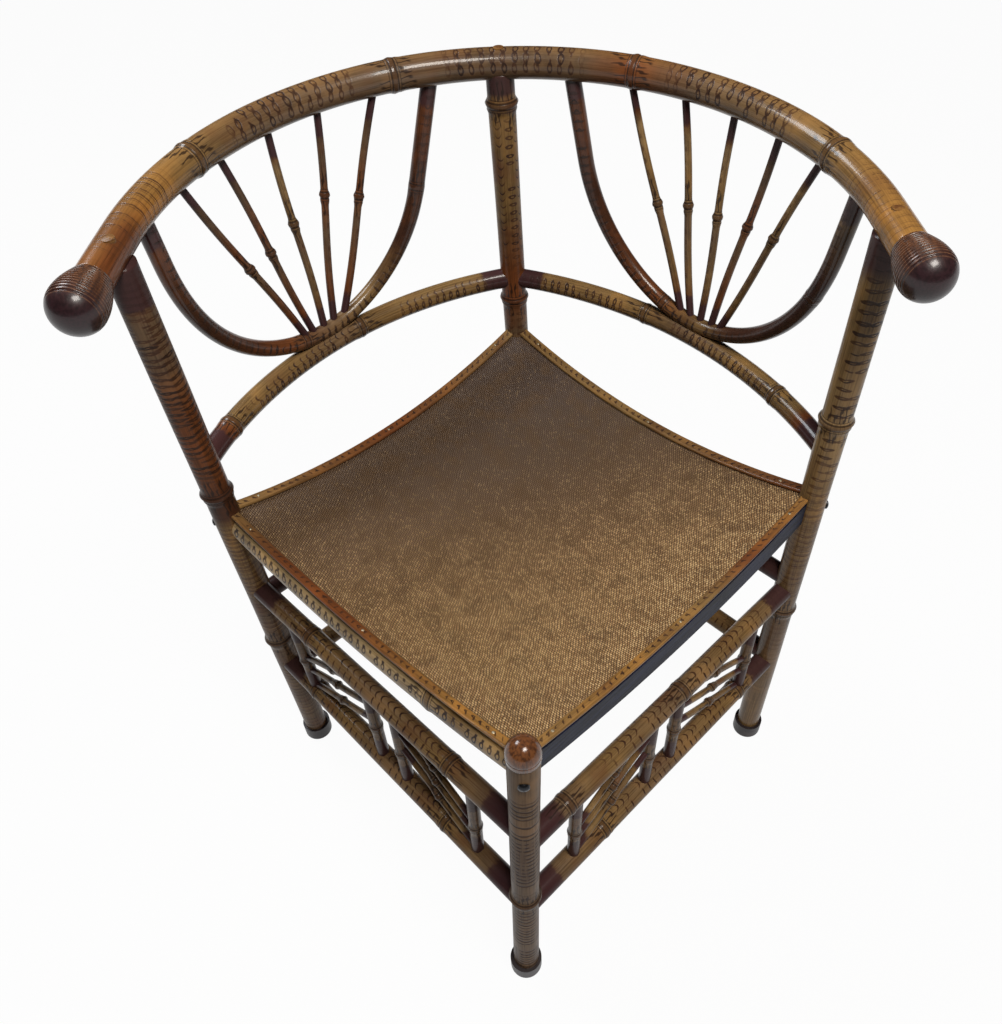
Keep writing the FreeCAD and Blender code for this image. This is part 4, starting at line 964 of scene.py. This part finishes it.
# %% Rails, stiles and sticks
for count, side in enumerate(SIDES):
    for level, size in RAIL_SIZE.items():
        start, end = rail_line(side, level)
        inset = unit(end - start) * RAIL_START
        places = np.array(RAIL_NODES[level][side]) * np.linalg.norm(end - start) - RAIL_START
        rail = stem(np.array((start + inset, end - inset)), size, places, (0, 0, 1), RAIL_TONE, RAIL_SCORCH,
                    swell=0.09, taper=0.03, sides=36, seed=21 + count * 2.3)
        piece(f"{level}_rail_stem_{side}", [rail], bamboo, f"{level}_rail_{side}")
    if side.startswith("back"):
        continue
    low, high = RAIL_HEIGHT["lower"][side], RAIL_HEIGHT["upper"][side]
    outwards = unit(np.append(CORNER[SIDES[side][0]] + CORNER[SIDES[side][1]], 0))
    low_end = low + RAIL_SIZE["lower"] / 2 - STILE_BITE
    high_end = high - RAIL_SIZE["upper"] / 2 + STILE_BITE
    for number, place in enumerate(STILE_PLACES):
        line = np.array([stile_point(side, place, height) for height in (low_end, high_end)])
        node_place = STILE_NODES[number] * (high_end - low_end)
        stile = stem(line, STILE_DIAMETER, (node_place,), outwards, STILE_TONE, STILE_SCORCH,
                     swell=0.2, sides=28, seed=30 + number + 4 * count)
        label = f"{side}_{number + 1}"
        piece("stile_stem_" + label, [stile], bamboo, "stile_" + label)
    for bay, (first, second, mirrored) in {"outer": (0, 1, False), "inner": (2, 3, True)}.items():
        sticks = []
        for number, shares in enumerate(BAY_STICKS):
            near, far = shares[::-1] if mirrored else shares
            start = stile_point(side, STILE_PLACES[first], low + near * (high - low))
            end = stile_point(side, STILE_PLACES[second], low + far * (high - low))
            line = crooked(start, end, SLANTED_STRAY, (0, 0, 1), 2)
            node_place = 0.5 * np.linalg.norm(end - start)
            sticks.append(stem(line, SLANTED_DIAMETER, (node_place,), outwards, STICK_TONE, STICK_SCORCH,
                               swell=0.5, taper=0.08, sides=18, seed=50 + number + 3 * count))
        label = f"{side}_{bay}"
        piece("slanted_sticks_" + label, sticks, thin_bamboo, "sticks_" + label)
print("side panels made")

# %% [markdown]
# ## Seat edge
# The seat dishes, so each edge hangs between two legs. On it lies a thin split strip of bamboo, mitred at the
# legs. The front left rail is faced with a thick stem split along its length, pale and marked in black.

# %% The seat's surface
BACK_SAG, FRONT_SAG = 31.0, 20.0
OVERHANG = {"front_left": 1.6, "front_right": 1.6, "back_left": 3.6, "back_right": 3.6}
SIDE_LENGTH = np.linalg.norm(CORNER["left"] - CORNER["back"])
GLUE_LINE = 0.2


def seat_point(u, v, lift):
    """Four corners blended by u, left to front, and v, left to back, less the hang of all four edges."""
    u, v, lift = np.broadcast_arrays(u, v, lift)
    weights = {"left": (1 - u) * (1 - v), "front": u * (1 - v), "right": u * v, "back": (1 - u) * v}
    plan = sum(weight[..., None] * CORNER[leg] for leg, weight in weights.items())
    hang_u = (1 - v) * FRONT_SAG + v * BACK_SAG
    hang_v = (1 - u) * BACK_SAG + u * FRONT_SAG
    sag = 4 * u * (1 - u) * hang_u + 4 * v * (1 - v) * hang_v
    return np.concatenate((plan, (SEAT_HEIGHT - sag + lift)[..., None]), axis=-1)


def edge_point(side_, share, inset, lift):
    """A point along one side of the seat, this far inside the line through its legs."""
    near_ = inset / SIDE_LENGTH
    u, v = {"front_left": (share, near_), "back_right": (share, 1 - near_),
            "back_left": (near_, share), "front_right": (1 - near_, share)}[side_]
    return seat_point(u, v, lift)


print("seat's middle:", np.round(seat_point(0.5, 0.5, 0), 1))

# %% [markdown]
# A trim's section is a circle pressed towards a flat box. Its ends are cut to the mitre: the further in a
# point lies, the sooner the strip ends there.

# %% Trims
def blunt(wave, power):
    """The power of a wave's size with the wave's sign, so that a circle turns into a rounded box."""
    return np.sign(wave) * np.abs(wave) ** power


TRIM_WIDTH, TRIM_THICKNESS = 9.5, 4.0
TRIM_TONE = {
    "front_left": [(0, OLIVE), (0.2, RED_BROWN), (0.45, RED_BROWN), (0.8, HONEY)],
    "front_right": [(0, OLIVE), (0.3, HONEY), (0.6, OLIVE), (0.75, RED_BROWN), (1, HONEY)],
    "back_left": [(0, OLIVE), (0.5, RED_BROWN), (1, OLIVE)],
    "back_right": [(0.5, OLIVE), (1, RED_BROWN)],
}
for number, side in enumerate(SIDES):
    share = np.linspace(0, 1, 200)[:, None]
    turns = np.linspace(0, 2 * math.pi, 28, endpoint=False)
    half, thin = TRIM_WIDTH / 2, TRIM_THICKNESS / 2
    inset = half - OVERHANG[side] + half * blunt(np.cos(turns), 0.45)
    lift = thin * blunt(np.sin(turns), 0.6) - thin
    mitre = (inset + GLUE_LINE) / SIDE_LENGTH
    loops = edge_point(side, mitre + (1 - 2 * mitre) * share, inset, lift)
    lie = together(inset - half + OVERHANG[side], lift + thin, share * SIDE_LENGTH + 1000 * number)
    gaps = together(200, 0, np.minimum(share, 1 - share) * SIDE_LENGTH + 60)
    tone = along_stem(TRIM_TONE[side], share[:, 0])[:, None]
    strip = loft(loops, {"lie": lie * MILLIMETRE, "gaps": gaps, "tone": tone, "scorch": (1.0, 0.0, 0.1)})
    piece("trim_strip_" + side, [strip], trim_bamboo, "seat_trim_" + side)
print("trims made")

# %% [markdown]
# The facing is the part of a thick stem that stands out before the rail. It hangs with the edge above it.

# %% Facing
FACING_DEPTH, FACING_DIAMETER, FACING_FACE = 8.0, 38.0, 2.4
FACING_END_DROP, FACING_MIDDLE_DROP, FACING_NODE = 3.0, 2.5, 286
start, end = (np.append(CORNER[leg], SEAT_HEIGHT) for leg in SIDES["front_left"])
outwards = unit(np.cross(end - start, (0, 0, 1.0)))
outwards = outwards if outwards @ (start + end) > 0 else -outwards
under_trim = TRIM_THICKNESS + GLUE_LINE + math.sqrt(FACING_DEPTH * (FACING_DIAMETER - FACING_DEPTH))
inside = FACING_FACE + FACING_DIAMETER / 2 - FACING_DEPTH
ends = [point - outwards * inside - np.array((0, 0, under_trim + FACING_END_DROP)) for point in (start, end)]
middle = (start + end) / 2 - outwards * inside - np.array((0, 0, FRONT_SAG + under_trim + FACING_MIDDLE_DROP))
middle_bulge = middle - (ends[0] + ends[1]) / 2
path = evenly(bowed(ends[0], ends[1], middle_bulge, 200))
way = np.linspace(0, 1, len(path)) * SIDE_LENGTH
opening = math.acos((FACING_DIAMETER / 2 - FACING_DEPTH + GLUE_LINE) / (FACING_DIAMETER / 2))
fan = np.linspace(-opening, opening, 30)
past = way - FACING_NODE
crest = np.exp(-(past / 3) ** 2) + 0.5 * np.exp(-((past + 5) / 3) ** 2)
flat = FACING_DIAMETER / 2
radius = flat * (1 + 0.05 * crest[:, None, None])
loops = path[:, None] + radius * (
    np.cos(fan)[:, None] * outwards + np.sin(fan)[:, None] * np.array((0, 0, 1.0)))
lie = together(flat * np.cos(fan), flat * np.sin(fan), way[:, None] + 900)
gaps = together(np.abs(past), np.sign(past), np.minimum(way, SIDE_LENGTH - way) + 30)
tone = along_stem([(0.7, STRAW), (0.8, OLIVE), (1, STRAW)], way / SIDE_LENGTH)
facing = loft(loops, {
    "lie": lie * MILLIMETRE, "gaps": gaps[:, None], "tone": tone[:, None], "scorch": (1.0, 0.0, 0.0)})
piece("facing_stem_front_left", [facing], facing_bamboo, "seat_facing_front_left")
print("facing made")

# %% [markdown]
# ## Matting
# The seat is covered with a close weave of twisted fibre. Its rows run along the front left and back right
# edges. Each cell is a small bead where a strand comes up, and every row is set half a cell from the next.
# The sheet follows the dished seat and runs out under the trims. The weave itself is relief and colour, read
# from a UV map in metres, so that it is the same size everywhere.

# %% Matting
FLAT_SIDE = 0.388
BEAD_LENGTH, ROW_WIDTH = 2.6, 1.9


def woven(name):
    """Beads: a bump in each cell of a staggered grid, with a painted highlight on top and painted shade in the
    gaps, cloudy patches, painted light towards the front right and painted shade at the back corner.
    """
    material, shader, start = new_finish(name, 0.55)
    uv = start.node("ShaderNodeUVMap", {"uv_map": "weave"}, {})
    x, y, _ = uv.parts()
    x, y = x * 1000, y * 1000
    place = vector(x, y, 0 * x)
    sway = noise(place, 0.06, 2)
    row = y / ROW_WIDTH + (sway - 0.5) * 1.2
    row_number = row.math("FLOOR", row)
    column = x / BEAD_LENGTH + row_number * 0.5 + (sway - 0.5) * 1.6
    column_number = column.math("FLOOR", column)
    across_, down = (column - column_number) * 2 - 1, (row - row_number) * 2 - 1
    chance = start.node("ShaderNodeTexWhiteNoise", {"noise_dimensions": "2D"},
                        {"Vector": vector(column_number, row_number, 0 * x)}, "Color").parts()
    slanted = across_ + down * 0.35
    dome = 1 - slanted * slanted
    bead = dome.math("MAXIMUM", dome, 0.0) * (1 - down * down)
    fibre = noise(vector(x * 1.1 + y * 0.4, y * 4.5, 0 * x), 1.0, 3)
    cloud, patch = noise(place, 0.011, 3), noise(place, 0.045, 3)
    from_back = FLAT_SIDE * 1000 - y
    # Painted light: the ground goes from dark grey-brown at the back left to a warm gold at the front right, as
    # the light falls on the seat.
    lit_towards_front = (x * 1.3 + from_back * 0.7).step(150, 620)
    ground = blend((0.125, 0.086, 0.06), (0.35, 0.195, 0.078), lit_towards_front)
    # Painted shade: a soft dark blotch at the back corner, by the back leg.
    corner = (x * 0.9 + from_back * 1.1 + (cloud - 0.5) * 180).step(190, 40)
    ground = blend(ground, (0.09, 0.067, 0.058), corner * 0.85)
    ground = blend(ground, (0.15, 0.085, 0.036), patch.step(0.55, 0.35) * 0.5)
    # Painted highlight: some bead tops are painted a bright gold, more of them towards the front right.
    bead_highlight = (chance[0] * 0.6 + lit_towards_front * 0.4 + patch * 0.3).step(0.6, 1.25)
    high = blend(ground, (0.75, 0.5, 0.24), bead_highlight * 0.8)
    # Painted shade: the gaps between the beads are nearly black.
    colour = blend((0.035, 0.017, 0.008), high, bead.step(0.12, 0.6))
    colour = blend(colour, (0.1, 0.05, 0.022), fibre.step(0.55, 0.35) * 0.35)
    finish_with(shader, colour, 0.62 - bead * 0.2, bead * (0.75 + chance[1] * 0.4) + fibre * 0.15, 0.0006)
    return material


print("weave: beads of", BEAD_LENGTH, "by", ROW_WIDTH, "mm")

# %% [markdown]
# The sheet lies under the trims and stops short of their outer edges. Its thickness goes down from its face.

# %% The sheet
MAT_LIFT, MAT_THICKNESS, FRONT_INSET, BACK_INSET = -4.3, 1.6, 3.4, 1.4
grid = np.linspace(0, 1, 161)
front_inset, back_inset = FRONT_INSET / SIDE_LENGTH, BACK_INSET / SIDE_LENGTH
u_line = back_inset + (1 - front_inset - back_inset) * grid
v_line = front_inset + (1 - front_inset - back_inset) * grid
points = (seat_point(u_line[:, None], v_line[None], MAT_LIFT) + TO_MIDDLE) * MILLIMETRE
count = len(grid)
index = np.arange(count * count).reshape(count, count)
faces = np.stack((index[:-1, :-1], index[1:, :-1], index[1:, 1:], index[:-1, 1:]), axis=-1).reshape(-1, 4)
mat_mesh = bpy.data.meshes.new("woven_mat")
mat_mesh.from_pydata(points.reshape(-1, 3).tolist(), [], faces.tolist())
mat_mesh.shade_smooth()
flat_map = together(u_line[:, None], v_line[None]).reshape(-1, 2) * FLAT_SIDE
weave_map = mat_mesh.uv_layers.new(name="weave")
weave_map.data.foreach_set("uv", flat_map[faces.ravel()].ravel())
mat_mesh.materials.append(woven("woven matting"))
matting = place_object("woven_mat", mat_mesh)
wall = matting.modifiers.new("thickness", "SOLIDIFY")
wall.thickness = MAT_THICKNESS * MILLIMETRE
wall.offset = -1.0
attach(matting, "root")
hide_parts("seat_matting")
mean_up = sum(face.normal.z for face in mat_mesh.polygons) / len(faces)
print("matting:", len(faces), "faces, mean normal up:", round(mean_up, 3))

# %% [markdown]
# ## Pieces that keep their frame shape
# The seat's rails, board and blocks, the bolts, pins, plugs, cups and dowels are right as the frame has them.
# They only need finishes: blue-black paint over grain, bare wood, peg wood, japanned metal and dull wire.

# %% Finishes for the frame's own pieces
def plain_wood(name, pale, dark, gloss, grain_scale=60):
    """Wood or paint over it: grain drawn out along the chair's left-right line, a little relief."""
    material, shader, start = new_finish(name, gloss, shine=0.2)
    place = start.node("ShaderNodeTexCoord", {}, {}, "Object")
    x, y, z = place.parts()
    grain = noise(vector(x * 4, y * 4, z * 40), grain_scale / 10, 4)
    speck = noise(place, 900, 2)
    colour = blend(pale, dark, grain.step(0.35, 0.65))
    colour = blend(colour, pale, speck.step(0.58, 0.7) * 0.7)
    finish_with(shader, colour, gloss + speck * 0.15, grain + speck * 0.3, 0.0004)
    return material


def japanned(name, colour, gloss, metallic=0.0):
    """Baked black lacquer or dull metal: one colour, a little cloudy, with fine specks in the gloss."""
    material, shader, start = new_finish(name, gloss, metallic, coat=0.08, coat_roughness=0.2, shine=0.25)
    place = start.node("ShaderNodeTexCoord", {}, {}, "Object")
    cloud, speck = noise(place, 60, 2), noise(place, 1400, 2)
    mixed = blend(colour, tuple(value * 1.9 + 0.01 for value in colour), cloud.step(0.45, 0.75))
    finish_with(shader, mixed, gloss + speck * 0.12, cloud * 0.6 + speck * 0.2, 0.0002)
    return material


paint = plain_wood("blue black paint", (0.014, 0.018, 0.045), (0.004, 0.005, 0.012), 0.5)
bare = plain_wood("bare wood", (0.42, 0.29, 0.16), (0.26, 0.16, 0.08), 0.7)
peg = plain_wood("peg wood", (0.28, 0.14, 0.04), (0.12, 0.05, 0.018), 0.3, 200)
cup = japanned("black cup", (0.018, 0.012, 0.013), 0.4)
bolt = japanned("dark bolt", (0.012, 0.013, 0.016), 0.22, 0.6)
wire = japanned("dull pin", (0.3, 0.25, 0.17), 0.4, 0.8)
KEPT = {
    paint: ["seat_rail_" + side for side in SIDES],
    bare: ["seat_board", "seat_battens", "seat_corner_blocks", "rail_dowels"],
    peg: ["arm_rail_plugs"],
    cup: ["foot_ferrules"],
    bolt: ["seat_bolts"],
    wire: ["trim_pins"],
}
for finish, nodes in KEPT.items():
    for node in nodes:
        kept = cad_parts[node]
        kept.data.materials.clear()
        kept.data.materials.append(finish)
print("finishes on", sum(len(nodes) for nodes in KEPT.values()), "kept nodes")

# %% [markdown]
# ## Floor and light
# The chair stands on plain white paper. To the camera the paper is mostly its own white, so that it melts
# into the background, and only a faint soft shadow is left under the feet. The light is a soft box high over
# the front, a cooler one from the back left, and an even white surround.

# %% Stage
PAPER, PAPER_GLOW, FLOOR_REACH = 0.62, 0.96, 12.0
material, shader, start = new_finish("white paper", 0.9)
shader.inputs["Base Color"].default_value = (PAPER, PAPER, PAPER, 1)
rays = start.node("ShaderNodeLightPath", {}, {}, "Is Camera Ray")
tree = material.node_tree
outputs = rays.socket.node.outputs
seen = larger(larger(rays, Strand(outputs["Is Glossy Ray"])), Strand(outputs["Is Transmission Ray"]))
glow = start.node("ShaderNodeEmission", {}, {"Color": (1, 1, 1, 1), "Strength": 1.0})
paper = start.node("ShaderNodeMixShader", {}, {0: seen * PAPER_GLOW, 1: start, 2: glow})
tree.links.new(paper.socket, tree.nodes["Material Output"].inputs["Surface"])
floor_mesh = bpy.data.meshes.new("paper_floor")
corners = [(FLOOR_REACH * x, FLOOR_REACH * y, 0) for x, y in ((-1, -1), (1, -1), (1, 1), (-1, 1))]
floor_mesh.from_pydata(corners, [], [(0, 1, 2, 3)])
floor_mesh.materials.append(material)
floor = place_object("paper_floor", floor_mesh)
floor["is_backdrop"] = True

print("paper laid")

# %% [markdown]
# The surround is dim to everything but the camera, which sees it white, and the two soft boxes do the rest.

# %% Surround and lamps
SURROUND = 0.24
world = bpy.data.worlds.new("surround")
bpy.context.scene.world = world
world.use_nodes = True
back = world.node_tree.nodes["Background"]
back.inputs["Strength"].default_value = SURROUND
sky = Strand(back.outputs[0])
rays = sky.node("ShaderNodeLightPath", {}, {}, "Is Camera Ray")
outputs = rays.socket.node.outputs
seen = larger(rays, Strand(outputs["Is Transmission Ray"]))
white = sky.node("ShaderNodeBackground", {}, {"Color": (1, 1, 1, 1), "Strength": 1.0})
mixed = sky.node("ShaderNodeMixShader", {}, {0: seen, 1: sky, 2: white})
world.node_tree.links.new(mixed.socket, world.node_tree.nodes["World Output"].inputs["Surface"])


def soft_box(name, place, aim, size, power, colour):
    """A rectangular lamp at a place, turned to its aim."""
    lamp = bpy.data.lights.new(name, "AREA")
    lamp.shape = "RECTANGLE"
    lamp.size, lamp.size_y = size
    lamp.energy = power
    lamp.color = colour
    way = (Vector(aim) - Vector(place)).normalized()
    turned_to = way.to_track_quat("-Z", "Y").to_matrix().to_4x4()
    place_object(name, lamp).matrix_world = Matrix.Translation(place) @ turned_to


soft_box("front_box", (0.5, -0.9, 2.6), (0, 0, 0.45), (0.9, 0.7), 56, (1.0, 0.95, 0.88))
soft_box("back_box", (-1.3, 1.0, 2.2), (0, 0, 0.5), (0.9, 0.7), 32, (0.9, 0.95, 1.0))
print("surround and lamps set")

# %% [markdown]
# ## Size
# The dressed chair has to keep the frame's size, so the last cell gives both boxes.

# %% Both boxes
def plain(box):
    return [[float(value) for value in corner] for corner in box]


{"cad": plain(cad_box), "visual": plain(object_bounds())}
